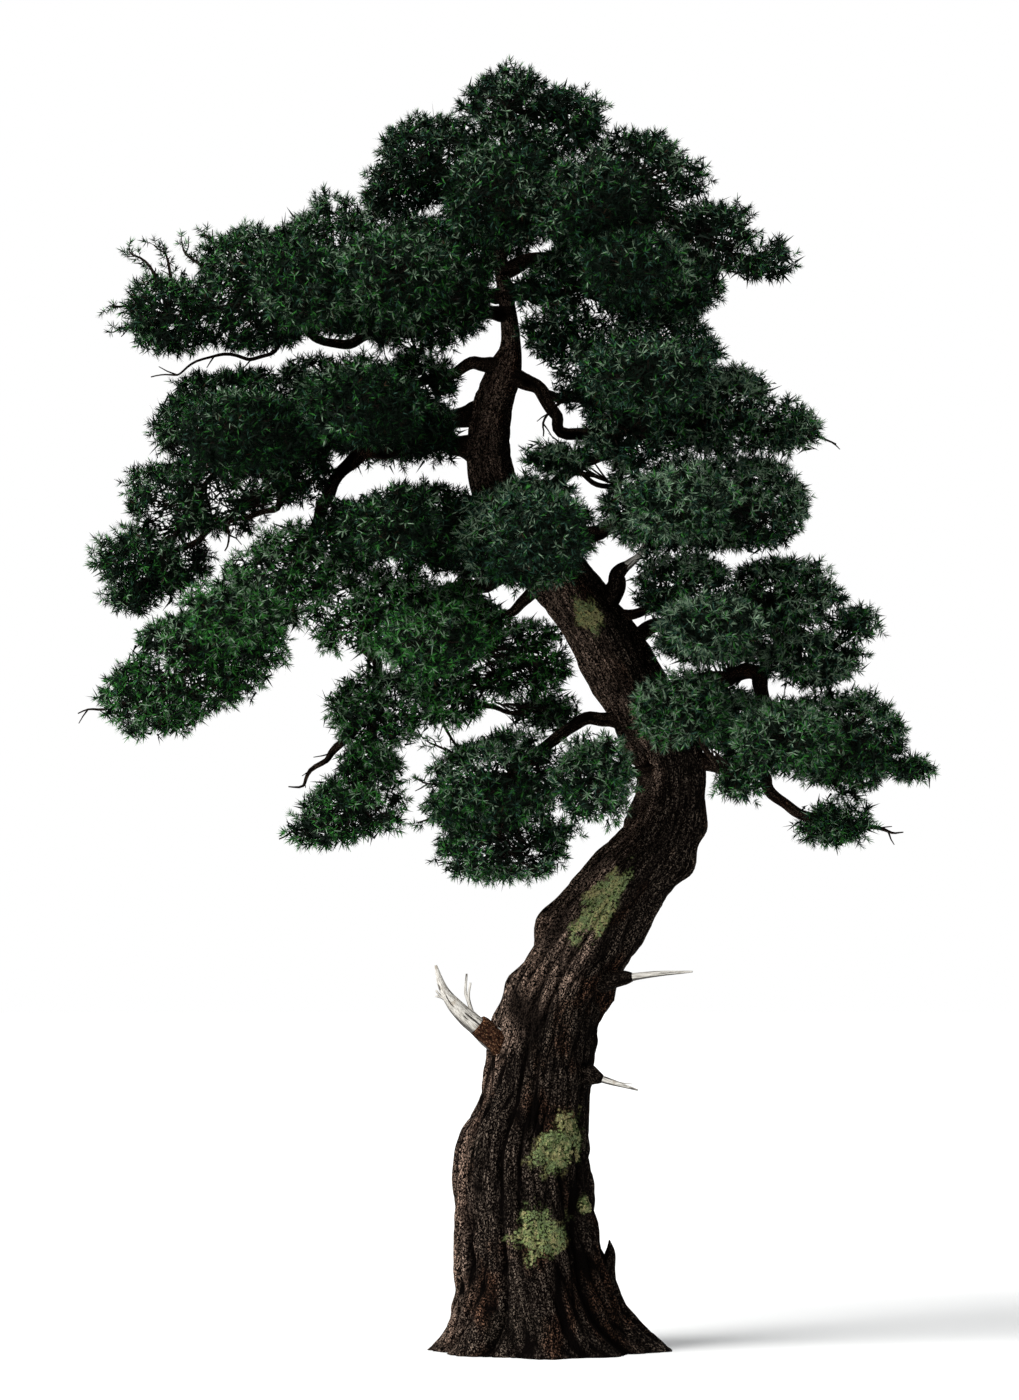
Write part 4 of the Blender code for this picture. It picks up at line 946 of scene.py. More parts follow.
def limb_shape(points, radii, sides, dice, ridges=LIMB_RIDGES, knots=LIMB_KNOTS):
    """Points, triangles, grain and painted furrow shade of a limb with ridged, knotty bark round a line."""
    slopes = unit(np.gradient(points, axis=0))
    across = unit(np.cross(slopes[0], (0.31, 0.95, 0.05)))
    frames = []
    for slope in slopes:
        across = unit(across - slope * np.dot(across, slope))
        frames.append((across, np.cross(slope, across)))
    frames = np.array(frames)
    along = np.broadcast_to(travelled(points)[:, None], (len(points), sides))
    turn = np.broadcast_to(np.arange(sides) * math.tau / sides, along.shape)
    seed = int(dice.integers(1 << 30))
    ridge = lattice_noise(turn / math.tau * (sides // 2), along / RIDGE_LENGTH, sides // 2, seed)
    knot = lattice_noise(turn / math.tau * KNOTS_ROUND, along / KNOT_LENGTH, KNOTS_ROUND, seed + 1)
    reach = radii[:, None] * (1 + ridges * ridge + knots * np.maximum(knot, KNOT_DIP))
    rings = points[:, None] + round_axis(frames[:, :1], frames[:, 1:], turn) * reach[..., None]
    grain = np.stack([np.cos(turn) * radii[:, None], np.sin(turn) * radii[:, None], along], axis=-1)
    # Painted shade in the low bark between the ridges.
    furrow = np.clip(-ridge * RIDGE_SHADE, 0, 1)
    return *skin(rings), with_ends(grain), with_ends(furrow)


def joined(shapes):
    """Several shapes as one: points, triangles and, where they have them, grain and painted furrow shade."""
    points, triangles, *marks = zip(*shapes)
    starts = np.cumsum([0] + [len(part) for part in points[:-1]])
    moved = [part + start for part, start in zip(triangles, starts)]
    return [np.concatenate(parts) for parts in (points, moved, *marks)]


def wandering(line, dice, wander=LIMB_WANDER):
    """A line that strays a little to either side between its two ends."""
    distance = travelled(line)
    share = distance / distance[-1]
    stray = np.zeros_like(line)
    for axis in range(3):
        for length in LIMB_WAVES:
            stray[:, axis] += np.sin(distance * math.tau / length + dice.uniform(0, math.tau)) * length
    return line + stray * wander * np.minimum(1, 8 * share * (1 - share))[:, None]


def bough_shape(start, route, radii, trunk_radius, dice):
    """A bough from the trunk's heart along its route, swollen where it comes out of the bark."""
    line = wandering(smooth_line((start, *route), LIMB_STEP), dice)
    distance = travelled(line)
    taper = radii[0] + (radii[1] - radii[0]) * (distance / distance[-1]) ** LIMB_TAPER
    outside = np.maximum(0, distance - trunk_radius)
    collar = 1 + (COLLAR - 1) * np.exp(-outside / COLLAR_LENGTH)
    return limb_shape(line, taper * collar, BOUGH_SIDES, dice)


BOUGH_COLOURS = {
    "Plate Colour": (0.006, 0.004, 0.003, 1.0),
    "Grey Colour": (0.150, 0.105, 0.076, 1.0),
}
bough_bark, tree, shader = new_material("bough_bark")
place = stretched(tree, mark_at(tree, "grain", "Vector"), scale=1.7)
dress_in_bark(tree, shader, place, mark_at(tree, "furrow"), (0.6, 0.006), BOUGH_COLOURS)

lobes_of = {name: lobes for name, _, lobes, _ in MASSES}
for number, (name, height, via, start_radius, tip_radius) in enumerate(BOUGHS):
    start = at_places(trunk_line, trunk_line[:, 2], height)
    shape = bough_shape(
        start[:3],
        (*via, lobes_of[name][0][:3]),
        (start_radius, tip_radius),
        start[3],
        np.random.default_rng([SEED, 40, number]),
    )
    bough = add_piece("bough_bark_" + name, *shape[:2], [bough_bark], grain=shape[2], furrow=shape[3])
    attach(bough, "root")
    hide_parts("bough_" + name)

# ---------------------------------------------------------------------------
# Dead limbs: broken, barkless and weathered silver, split along the grain and worn to points. Each comes out
# of a lip of bark that the trunk has grown round it. A broken root at the foot is still in its bark.
# ---------------------------------------------------------------------------
# Name, points from inside the trunk to the tip, radius at the trunk and at the tip, side shoots (number of a
# point, points to its tip), where along the limb, from 0 to 1, its bark lip ends, and how far the lip swells.
DEAD_LIMBS = (
    ("left", ((-0.20, 0.00, 2.72), (-0.59, -0.10, 3.03), (-0.78, -0.14, 3.21), (-0.90, -0.16, 3.37),
        (-0.97, -0.16, 3.59)), 0.120, 0.012,
        ((1, ((-0.672, -0.12, 3.27), (-0.693, -0.12, 3.345), (-0.683, -0.12, 3.51))),
            (1, ((-0.664, -0.12, 3.27), (-0.647, -0.13, 3.427))),
            (2, ((-0.90, -0.11, 3.28), (-0.973, -0.10, 3.302))),
            (2, ((-0.90, -0.11, 3.28), (-0.968, -0.12, 3.354)))),
        0.44, 0.02),
    ("right_high", ((0.35, 0.10, 3.42), (0.80, -0.06, 3.47), (1.12, -0.10, 3.51), (1.42, -0.12, 3.53)),
        0.052, 0.008, (), 0.50, 0.10),
    ("right_low", ((0.25, 0.05, 2.62), (0.54, -0.10, 2.54), (0.91, -0.16, 2.43)), 0.048, 0.008,
        ((1, ((0.74, -0.13, 2.50), (0.86, -0.14, 2.485))),), 0.54, 0.12),
    ("upper", ((0.45, -0.10, 6.80), (0.69, -0.20, 7.07), (0.72, -0.24, 7.23), (0.84, -0.26, 7.33),
        (0.92, -0.27, 7.40), (0.98, -0.28, 7.56)), 0.084, 0.008, (), 0.70, 0.05),
)
DEAD_STEP = 0.018
DEAD_SIDES = 20
DEAD_TAPER = 1.6  # above 1 keeps a dead limb stout before it thins
DEAD_RIDGES = 0.10  # of its radius
SNAG_SHARE = 0.25  # of the limb's radius, for a side shoot from its foot
SNAG_TIP_SHARE = 0.075
SNAG_REACH = 4  # points along the limb over which its side shoots would thin to nothing
LIP_KNOTS = 0.16
LIP_THICKNESS = 0.016
LIP_EDGE = 1 / 8  # share of the lip's length over which it thins to its edge
LIP_SINK = 0.008  # how far the lip's edge dips into the wood
LIP_OPEN = 0.55  # share of the lip's length that lies outside the trunk
LIP_BURIED = 0.45  # the rest of it, inside the trunk
LIP_PINCH = 0.45  # how much thinner a lip is at its start
# A stub of a broken root that stands against the foot of the trunk: (x, y, z, radius).
ROOT_SPUR = (
    (0.52, -0.08, 0.30, 0.160),
    (0.575, -0.11, 0.60, 0.120),
    (0.635, -0.13, 0.82, 0.068),
    (0.655, -0.13, 0.93, 0.040),
    (0.645, -0.12, 1.035, 0.005),
)
ROOT_SPUR_RIDGES = 0.16
# Painted shade on the bark lips on the trunk's right side and on the root spur.
LIP_PAINTED_SHADE = 0.75
WOOD_COLOUR = (0.24, 0.22, 0.19, 1.0)
SILVER_COLOUR = (0.70, 0.67, 0.61, 1.0)
STAIN_COLOUR = (0.26, 0.20, 0.13, 1.0)
SPLIT_AND_SHADE_COLOUR = (0.03, 0.025, 0.02, 1.0)
UNDER_DARK = 1.3  # how soon a dead limb's underside gets painted shade
LIP_COLOURS = {
    "Plate Colour": (0.030, 0.012, 0.007, 1.0),
    "Red Colour": (0.400, 0.160, 0.060, 1.0),
    "Grey Colour": (0.360, 0.190, 0.100, 1.0),
}

dead_wood, tree, shader = new_material("weathered_wood")
place = mark_at(tree, "grain", "Vector")
fibres = cloudy(tree, stretched(tree, place, 0.06), 150.0, 5.0, 0.6)
cracks = cloudy(tree, stretched(tree, place, 0.06), 48.0, 2.0)
stain = cloudy(tree, place, 7.0, 3.0)
silver = mix(tree, ramp(tree, fibres, 0.35, 0.62), WOOD_COLOUR, SILVER_COLOUR)
silver = mix(tree, ramp(tree, stain, 0.52, 0.72, 0.0, 0.6), silver, STAIN_COLOUR)
# Painted shade on the undersides, which turns them as dark as the splits.
underside_painted_shade = ramp(tree, maths(tree, "ADD", mark_at(tree, "painted_underside_shade"), fibres), 1.00, 1.25, 0.0, 0.92)
splits_and_painted_shade = maths(tree, "MAXIMUM", ramp(tree, cracks, 0.36, 0.43, 1.0, 0.0), underside_painted_shade)
tree.links.new(mix(tree, splits_and_painted_shade, silver, SPLIT_AND_SHADE_COLOUR), shader.inputs["Base Color"])
tree.links.new(ramp(tree, fibres, 0.3, 0.7, 0.6, 0.85), shader.inputs["Roughness"])
bumped(tree, shader, maths(tree, "SUBTRACT", fibres, splits_and_painted_shade), 0.6, 0.004)


def dead_limb_line(points, radii):
    """A dead limb's line, the share of its length behind each point, and its radius there."""
    line = smooth_line(points, DEAD_STEP)
    share = travelled(line) / travelled(line)[-1]
    return line, share, radii[1] + (radii[0] - radii[1]) * (1 - share**DEAD_TAPER)


def dead_limb_shapes(points, radii, shoots, dice):
    """The limb and its side shoots, all drawn out to points."""
    line, _, thickness = dead_limb_line(points, radii)
    shapes = [limb_shape(line, thickness, DEAD_SIDES, dice, DEAD_RIDGES, DEAD_RIDGES)]
    for start, route in shoots:
        shoot = smooth_line((points[start], *route), DEAD_STEP)
        foot_radius = radii[0] * SNAG_SHARE * (1 - start / SNAG_REACH)
        widths = np.linspace(foot_radius, radii[0] * SNAG_TIP_SHARE, len(shoot))
        shapes.append(limb_shape(shoot, widths, DEAD_SIDES // 2, dice))
    return shapes


def bark_lip(points, radii, end, swell, dice):
    """Bark that closes round the foot of a dead limb, swollen where it comes out of the trunk."""
    line, share, limb = dead_limb_line(points, radii)
    closed = share <= end
    back = 1 - share[closed] / end
    thickness = LIP_THICKNESS * np.sqrt(np.clip(back / LIP_EDGE, 0, 1))
    swollen = limb[closed] + thickness - LIP_SINK + swell * back
    swollen = swollen * (1 - LIP_PINCH * np.clip((back - LIP_OPEN) / LIP_BURIED, 0, 1))
    return limb_shape(line[closed], swollen, DEAD_SIDES, dice, DEAD_RIDGES, LIP_KNOTS)


lip_bark, tree, shader = new_material("lip_bark")
place = mark_at(tree, "grain", "Vector")
dress_in_bark(tree, shader, place, mark_at(tree, "furrow"), (0.7, 0.008), LIP_COLOURS)

lips = []
for number, (name, points, start_radius, tip_radius, shoots, lip_end, swell) in enumerate(DEAD_LIMBS):
    dice = np.random.default_rng([SEED, 60, number])
    shape = joined(dead_limb_shapes(points, (start_radius, tip_radius), shoots, dice))
    limb = add_piece("dead_wood_" + name, *shape[:2], [dead_wood], grain=shape[2])
    # Painted shade: the further down a point of the limb faces, the darker.
    painted_underside_shade = limb.data.attributes.new("painted_underside_shade", "FLOAT", "POINT")
    painted_underside_shade.data.foreach_set("value", np.clip(-normals_of(limb)[:, 2] * UNDER_DARK, 0, 1).astype(np.float32))
    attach(limb, "root")
    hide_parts("dead_" + name)
    lips.append(bark_lip(points, (start_radius, tip_radius), lip_end, swell, dice))

spur = smooth_line(ROOT_SPUR, DEAD_STEP)
dice = np.random.default_rng(SEED + 61)
lips.append(limb_shape(spur[:, :3], spur[:, 3], DEAD_SIDES, dice, ROOT_SPUR_RIDGES, ROOT_SPUR_RIDGES))
# The lips on the right and the root spur wear the trunk's bark with its painted shade.
for name, lip_shapes, material in (
    ("bark_lip_left", lips[:1], lip_bark),
    ("bark_lips_damp", lips[1:], trunk_bark),
):
    shape = joined(lip_shapes)
    lip_damp = np.full(len(shape[0]), LIP_PAINTED_SHADE)
    scars = add_piece(name, *shape[:2], [material], grain=shape[2], furrow=shape[3], damp=lip_damp)
    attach(scars, "root")

# ---------------------------------------------------------------------------
# Limbs and twigs in the foliage: each mass has a stem, limbs from the heart of one lobe to the next, and
# twigs that fork off them towards the border of the lobe. A few bare ones stand out beyond the needles.
# ---------------------------------------------------------------------------
UNDERSIDE = 0.92  # a lobe hangs below its heart by this share of its height above it
LIMB_SIDES = 8
SPRAY_SPACING = 0.285  # between neighbouring twig ends, measured over the border of a lobe
SPRAY_DEPTH = 0.042  # from a twig's end to the border, at the top of a tuft
DEPTH_JITTER = 0.030
TUFT_SPACING = 0.38  # a lobe's border is a crowd of rounded tufts
TUFT_WIDTH = 0.20
TUFT_NOTCH = 0.130  # how far the border draws back between them
TUFT_RISE = 0.060  # how far a whole tuft may stand out of the border or lie behind it
INNERMOST = 0.30  # share of the way to the border, for twigs of the thinnest lobes
OUTERMOST = 1.03
TRIED_AT = 0.95  # share of the way to the border where a twig is tried against the other lobes
IN_SISTER = 0.84  # twigs that end deeper than this in another lobe of their mass are left out
IN_OTHER = 0.82  # the same for the other masses
TRUNK_CLEAR = 0.10
TIP_KNOTS = 5  # of the limb that carries the trunk's tip on into the foliage
TIP_OVERLAP = 0.05
TIP_RADII = (0.024, 0.018)
STEM_SAG = 0.10  # of its length, below a straight line
LIMB_SAG = 0.06
LIMB_THINS = 0.5  # share of its radius that a limb keeps at the heart of the next lobe
FORK_BACK = 0.3  # share of its limb's length by which a twig forks off before it is level with its end
FIRST_FORK = 0.25  # share of the limb's length from which on it bears twigs
TWIG_KNOTS = 3
TWIG_RADII = (0.0125, 0.0042)
TWIG_SWEEP = 0.16  # a twig sets out along its limb and sags before it turns up
TWIG_SAG = 0.07
SHOOTS = 7
SPRAY_RADIUS = 0.165  # the shoots end on a shallow dome this wide round their twig's end
DOME_DROP = 0.9  # how far its rim lies back, beside its radius squared
SHOOT_BACK = (0.05, 0.11)  # how far behind the twig's end a shoot sets out
SHOOT_JITTER = 0.022
SHOOT_RADIUS = 0.0042
SHOOT_LIFT = 0.18
RUNNER_SHARE = 0.12  # sprays whose leading shoot runs on past the others
RUNNER_LENGTH = 0.06
GOLDEN_ANGLE = math.pi * (3 - math.sqrt(5))


def lobe_reach(lobe, rays):
    """A lobe's half width, depth and height along each ray; the height is less below the heart."""
    reach = np.broadcast_to(np.array(lobe[3:6]), rays.shape).copy()
    reach[:, 2] *= np.where(rays[:, 2] > 0, 1, UNDERSIDE)
    return reach


def lobe_values(points, lobe):
    """Each point's share of the way from the lobe's heart (0) to its border (1)."""
    away = points - lobe[:3]
    return np.linalg.norm(away / lobe_reach(lobe, away), axis=1)


def spread_rays(lobe, spacing, dice):
    """Directions from a lobe's heart, as many to each patch of its border as the patch is large."""
    size = np.array(lobe[3:6])
    most = np.prod(size) / size.min()
    count = math.ceil(4 * math.pi * most / spacing**2)
    step = np.arange(count) + 0.5
    rise = 1 - 2 * step / count
    turn = step * GOLDEN_ANGLE + dice.uniform(0, math.tau)
    ring = np.sqrt(1 - rise**2)
    rays = np.stack([ring * np.cos(turn), ring * np.sin(turn), rise], axis=1)
    stretch = np.linalg.norm(rays / size, axis=1) * np.prod(size)
    return rays[dice.random(count) < stretch / most]


def grow_lobe(number, lobe, came_from, name, dice):
    """Twigs from the limb that comes into a lobe, as (twig, knot, xyz), and the way each faces outward."""
    rays = spread_rays(lobe, SPRAY_SPACING, dice)
    tufts = spread_rays(lobe, TUFT_SPACING, dice)
    reach = lobe_reach(lobe, rays)
    border = np.linalg.norm(rays * reach, axis=1)
    apart = np.linalg.norm((rays * reach)[:, None] - tufts * lobe_reach(lobe, tufts), axis=2)
    drop = dice.uniform(-TUFT_RISE, TUFT_RISE, len(tufts))[apart.argmin(axis=1)]
    notch = TUFT_NOTCH * (1 - np.exp(-((apart.min(axis=1) / TUFT_WIDTH) ** 2))) + drop
    share = 1 - (SPRAY_DEPTH + notch + dice.normal(0, DEPTH_JITTER, len(rays))) / border
    ends = lobe[:3] + rays * reach * np.clip(share, INNERMOST, OUTERMOST)[:, None]
    facing = unit(rays / reach)
    outermost = lobe[:3] + rays * reach * TRIED_AT
    keep = np.ones(len(rays), bool)
    for other, _, lobes, _ in MASSES:
        for index, sister in enumerate(lobes):
            if other == name and index == number:
                continue
            keep &= lobe_values(outermost, sister) > (IN_SISTER if other == name else IN_OTHER)
    trunk_at = at_places(trunk_line, trunk_line[:, 2], ends[:, 2])
    below_tip = ends[:, 2] < trunk_line[-1, 2]
    to_trunk = np.linalg.norm(ends[:, :2] - trunk_at[:, :2], axis=1)
    keep &= (to_trunk > trunk_at[:, 3] + TRUNK_CLEAR) | ~below_tip
    ends = ends[keep]
    heart = np.array(lobe[:3])
    limb = heart - came_from
    length = np.linalg.norm(limb)
    place = np.clip((ends - came_from) @ limb / length**2 - FORK_BACK, FIRST_FORK, 1.0)
    starts = came_from + limb * place[:, None]
    span = np.linalg.norm(ends - starts, axis=1)[:, None]
    bend = (starts + ends) / 2 + span * (TWIG_SWEEP * limb / length - (0, 0, TWIG_SAG))
    t = np.linspace(0, 1, TWIG_KNOTS)[:, None]
    twigs = starts[:, None] * (1 - t) ** 2 + 2 * bend[:, None] * t * (1 - t) + ends[:, None] * t**2
    return twigs, facing[keep]


def fine_twigs(paths, thickness):
    """Points and triangles of many three-sided twigs at once, each closed to a point at its tip."""
    count, knots = paths.shape[:2]
    across, beside = square_to(unit(paths[:, -1] - paths[:, 0]), (0.31, 0.22, 0.92))
    spokes = round_axis(across[:, None], beside[:, None], np.arange(3) * math.tau / 3)
    rings = paths[:, :-1, None] + spokes[:, None] * thickness[:, None, None]
    points = np.concatenate([rings.reshape(count, -1, 3), paths[:, -1:]], axis=1)
    one = []
    for knot in range(knots - 1):
        for side in range(3):
            low = (3 * knot + side, 3 * knot + (side + 1) % 3)
            if knot == knots - 2:
                one.append((*low, 3 * (knots - 1)))
            else:
                one.append((*low, low[1] + 3))
                one.append((low[0], low[1] + 3, low[0] + 3))
    triangles = np.array(one) + (np.arange(count) * points.shape[1])[:, None, None]
    return points.reshape(-1, 3), triangles.reshape(-1, 3)


TWIG_COLOURS = {
    "Plate Colour": (0.016, 0.010, 0.007, 1.0),
    "Red Colour": (0.060, 0.030, 0.017, 1.0),
    "Grey Colour": (0.070, 0.054, 0.040, 1.0),
}
twig_bark, tree, shader = new_material("twig_bark")
place = stretched(tree, add_node(tree, "TexCoord").outputs["Object"], scale=2.5)
dress_in_bark(tree, shader, place, 0.0, (0.4, 0.002), TWIG_COLOURS, gloss=0.12)


def sideways_from(line, place, dice):
    """A point part of the way along a line, and a direction that forks forward off it."""
    row = round(place * (len(line) - 1))
    course = unit(line[min(row + 1, len(line) - 1)] - line[row - 1])
    return line[row], unit(course + unit(np.cross(course, dice.normal(size=3))) * dice.uniform(0.7, 1.3))


def side_prongs(line, dice):
    """Short broken prongs that fork off a bare twig."""
    prongs = []
    for place in PRONG_PLACES:
        start, course = sideways_from(line, place + dice.uniform(-PRONG_JITTER, PRONG_JITTER), dice)
        tip = start + course * dice.uniform(*PRONG_LENGTH)
        knots = np.array((start, (start + tip) / 2 + dice.normal(0, PRONG_BEND, 3), tip))
        prongs.append(limb_shape(knots, np.linspace(*PRONG_RADII, len(knots)), PRONG_SIDES, dice))
    return prongs


def twig_tufts(line, dice):
    """Where sparse tufts start and end along the outer half of a bare twig."""
    ends = []
    for place in np.linspace(0.5, 1.0, TWIG_TUFTS):
        start, course = sideways_from(line, place, dice)
        ends.append((start, start + course * dice.uniform(*TUFT_OUT)))
    return np.array(ends)


limb_shapes = []
twigs_of = {}
tufts_of = {}
for index, (name, carrier, lobes, bare) in enumerate(MASSES):
    dice = np.random.default_rng([SEED, 80, index])
    hearts = [np.array(lobe[:3]) for lobe in lobes]
    if carrier == "tip":
        came_from = trunk_line[-1, :3]
        line = np.linspace(came_from - (0, 0, TIP_OVERLAP), hearts[0], TIP_KNOTS)
        limb_shapes.append(limb_shape(line, np.linspace(*TIP_RADII, TIP_KNOTS), LIMB_SIDES, dice))
    elif carrier == "bough":
        via = [points for bough, _, points, _, _ in BOUGHS if bough == name][0]
        came_from = (np.array(via[-1]) + hearts[0]) / 2
    else:
        start = at_places(trunk_line, trunk_line[:, 2], carrier)
        sag = np.array((0, 0, STEM_SAG * np.linalg.norm(hearts[0] - start[:3])))
        came_from = (start[:3] + hearts[0]) / 2
        route = (came_from - sag, hearts[0])
        limb_shapes.append(bough_shape(start[:3], route, (STEM_RADIUS, HEART_RADIUS), start[3], dice))
    twigs_of[name] = []
    for number, lobe in enumerate(lobes):
        if number:
            parent = lobe[6] if len(lobe) > 6 else number - 1
            came_from = hearts[parent]
            middle = (came_from + hearts[number]) / 2 - (0, 0, LIMB_SAG)
            line = wandering(smooth_line((came_from, middle, hearts[number]), LIMB_STEP), dice)
            widths = np.linspace(HEART_RADIUS, HEART_RADIUS * LIMB_THINS, len(line))
            limb_shapes.append(limb_shape(line, widths, LIMB_SIDES, dice))
        twigs_of[name].append(grow_lobe(number, lobe, came_from, name, dice))
    tufts_of[name] = []
    for twig, (number, points, *stout) in enumerate(bare):
        line = wandering(smooth_line((hearts[number], *points), LIMB_STEP), dice)
        widths = np.linspace(stout[0] if stout else BARE_RADIUS, BARE_TIP_RADIUS, len(line))
        limb_shapes.append(limb_shape(line, widths, LIMB_SIDES, dice))
        limb_shapes += side_prongs(line, dice)
        if twig in TUFTED.get(name, ()):
            tufts_of[name].append(twig_tufts(line, dice))

mass_nodes = ["mass_" + name for name, _, _, _ in MASSES]
shape = joined(limb_shapes)
limbs = add_piece("limbs", *shape[:2], [bough_bark], grain=shape[2], furrow=shape[3])
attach(limbs, "root")
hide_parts(*mass_nodes)


def grow_shoots(twigs, facing, dice):
    """The shoots at the end of each twig: where each starts and ends, by twig and shoot."""
    count = len(twigs)
    axis = unit(facing + (0, 0, SHOOT_LIFT))
    across, beside = square_to(axis, (0.31, 0.92, 0.22))
    order = np.arange(SHOOTS)
    ring = SPRAY_RADIUS * np.sqrt((order + 0.25) / SHOOTS)
    turn = order * GOLDEN_ANGLE + dice.uniform(0, math.tau, (count, 1)) + dice.normal(0, 0.2, (count, SHOOTS))
    sideways = round_axis(across[:, None], beside[:, None], turn)
    rise = dice.normal(0, SHOOT_JITTER, (count, SHOOTS)) - DOME_DROP * ring**2
    rise[:, 0] += np.where(dice.random(count) < RUNNER_SHARE, RUNNER_LENGTH, 0)
    tip = twigs[:, -1, None] + sideways * ring[:, None] + axis[:, None] * rise[..., None]
    course = unit(twigs[:, -1] - twigs[:, -2])
    start = twigs[:, -1, None] - course[:, None] * dice.uniform(*SHOOT_BACK, (count, SHOOTS, 1))
    return start, tip


all_twigs = []
shoots_of = {}
for index, (name, _, _, _) in enumerate(MASSES):
    dice = np.random.default_rng([SEED, 90, index])
    twigs = np.concatenate([twigs for twigs, _ in twigs_of[name]])
    facing = np.concatenate([facing for _, facing in twigs_of[name]])
    all_twigs.append(fine_twigs(twigs, np.linspace(*TWIG_RADII, TWIG_KNOTS)[:-1]))
    start, tip = grow_shoots(twigs, facing, dice)
    all_twigs.append(fine_twigs(np.stack([start, tip], axis=2).reshape(-1, 2, 3), np.array([SHOOT_RADIUS])))
    facing = np.repeat(facing, SHOOTS, axis=0)
    shoots_of[name] = (tip.reshape(-1, 3), unit(tip - start).reshape(-1, 3), facing)
    if tufts_of[name]:
        tufts = np.concatenate(tufts_of[name])
        all_twigs.append(fine_twigs(tufts, np.array([SHOOT_RADIUS])))

twigs = add_piece("twigs", *joined(all_twigs), [twig_bark])
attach(twigs, "root")
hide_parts(*mass_nodes)

# ---------------------------------------------------------------------------
# Needles: they stand in pairs round each shoot, two slim blades from one sheath, folded closer to the shoot
# towards its tip. Sprays and whole clumps of them are lighter or darker by their age and place; painted light
# makes them lighter on top, along with paler new growth, and painted shade darker on the right.
# ---------------------------------------------------------------------------
PAIRS = 14  # of needles on a shoot
NEEDLED = 0.055  # length of a shoot's end that bears them
OUTWARD = 0.8  # how much the needled end turns from the shoot's course towards the light
NEEDLE_LENGTH = (0.052, 0.080)
NEEDLE_WIDTH = 0.0102
PAIR_SPREAD = 0.13  # radians from the pair's middle
NEEDLE_OPEN = (88, 20)  # degrees from the shoot, at its foot and at its tip
NEEDLE_CLOSING = 1.3  # above 1 they close up mostly near the tip
PLACE_JITTER = 0.02  # share of the needled length
TURN_JITTER = 0.25  # radians
OPEN_JITTER = 0.12
INNER_NEEDLES = 26  # painted shade: broad dark blades behind each spray, where it lies in shade
INNER_LENGTH = (0.10, 0.15)
INNER_DEPTH = (0.03, 0.11)  # behind the middle of the spray
INNER_WIDTH = 0.026
INNER_LEAN = 0.3  # how much they turn back from the spray
# Dark blades of painted shade among the limbs inside a lobe, for each square metre of its half width by its
# half height.
HEART_NEEDLES = 2300
HEART_REACH = 0.88  # share of the way to the border that they fill
NEEDLE_SHADES = (
    ("needles_deep", (0.003, 0.008, 0.004, 1.0)),
    ("needles_brown", (0.040, 0.022, 0.012, 1.0)),
    ("needles_green", (0.012, 0.056, 0.014, 1.0)),
    ("needles_blue", (0.030, 0.078, 0.055, 1.0)),
    ("needles_fresh", (0.040, 0.190, 0.032, 1.0)),
    ("needles_pale", (0.215, 0.310, 0.205, 1.0)),
)
NEEDLE_ROUGHNESS = 0.6
NEEDLE_GLOSS = 0.06
SPRAY_MOOD = 0.10  # how much the sprays differ in lightness
CLUMP_MOOD = 0.13  # and whole clumps of them
CLUMP_LENGTH = 0.85
CLUMP_WAVES = 6
TOP_LIGHT_AND_NEW_GROWTH = 0.10  # lighter on top than on the sides: partly painted light, partly paler new growth
# Painted shade: sprays that face right are darker.
RIGHT_PAINTED_SHADE = 0.04
# Parts of the crown, the masses in each, and how its sprays share out the shades above.
CROWN_PARTS = (
    ("crown", ("crown_tip", "crown_left", "crown_front", "crown_back", "crown_right", "crown_low"),
        (0.50, 0.01, 0.18, 0.15, 0.07, 0.09)),
    ("fan", ("fan_inner", "fan_outer", "fan_back", "shelf_inner"), (0.50, 0.01, 0.20, 0.09, 0.11, 0.09)),
    ("shelf", ("shelf_outer", "shelf_back", "centre_left"), (0.57, 0.01, 0.20, 0.07, 0.11, 0.04)),
    ("left", ("left_low", "centre_low", "hanging_left"), (0.14, 0.01, 0.20, 0.05, 0.36, 0.24)),
    ("middle", ("front_centre", "mid_back", "right_fork", "fork_back"), (0.42, 0.01, 0.14, 0.22, 0.07, 0.14)),
    ("right", ("right_fork_outer", "right_mid", "right_shelf", "right_shelf_outer", "back_low"),
        (0.19, 0.01, 0.12, 0.22, 0.11, 0.35)),
    ("low", ("right_low", "right_low_front", "right_low_tip", "lower_left", "lower_inner"),
        (0.21, 0.01, 0.16, 0.16, 0.21, 0.25)),
)


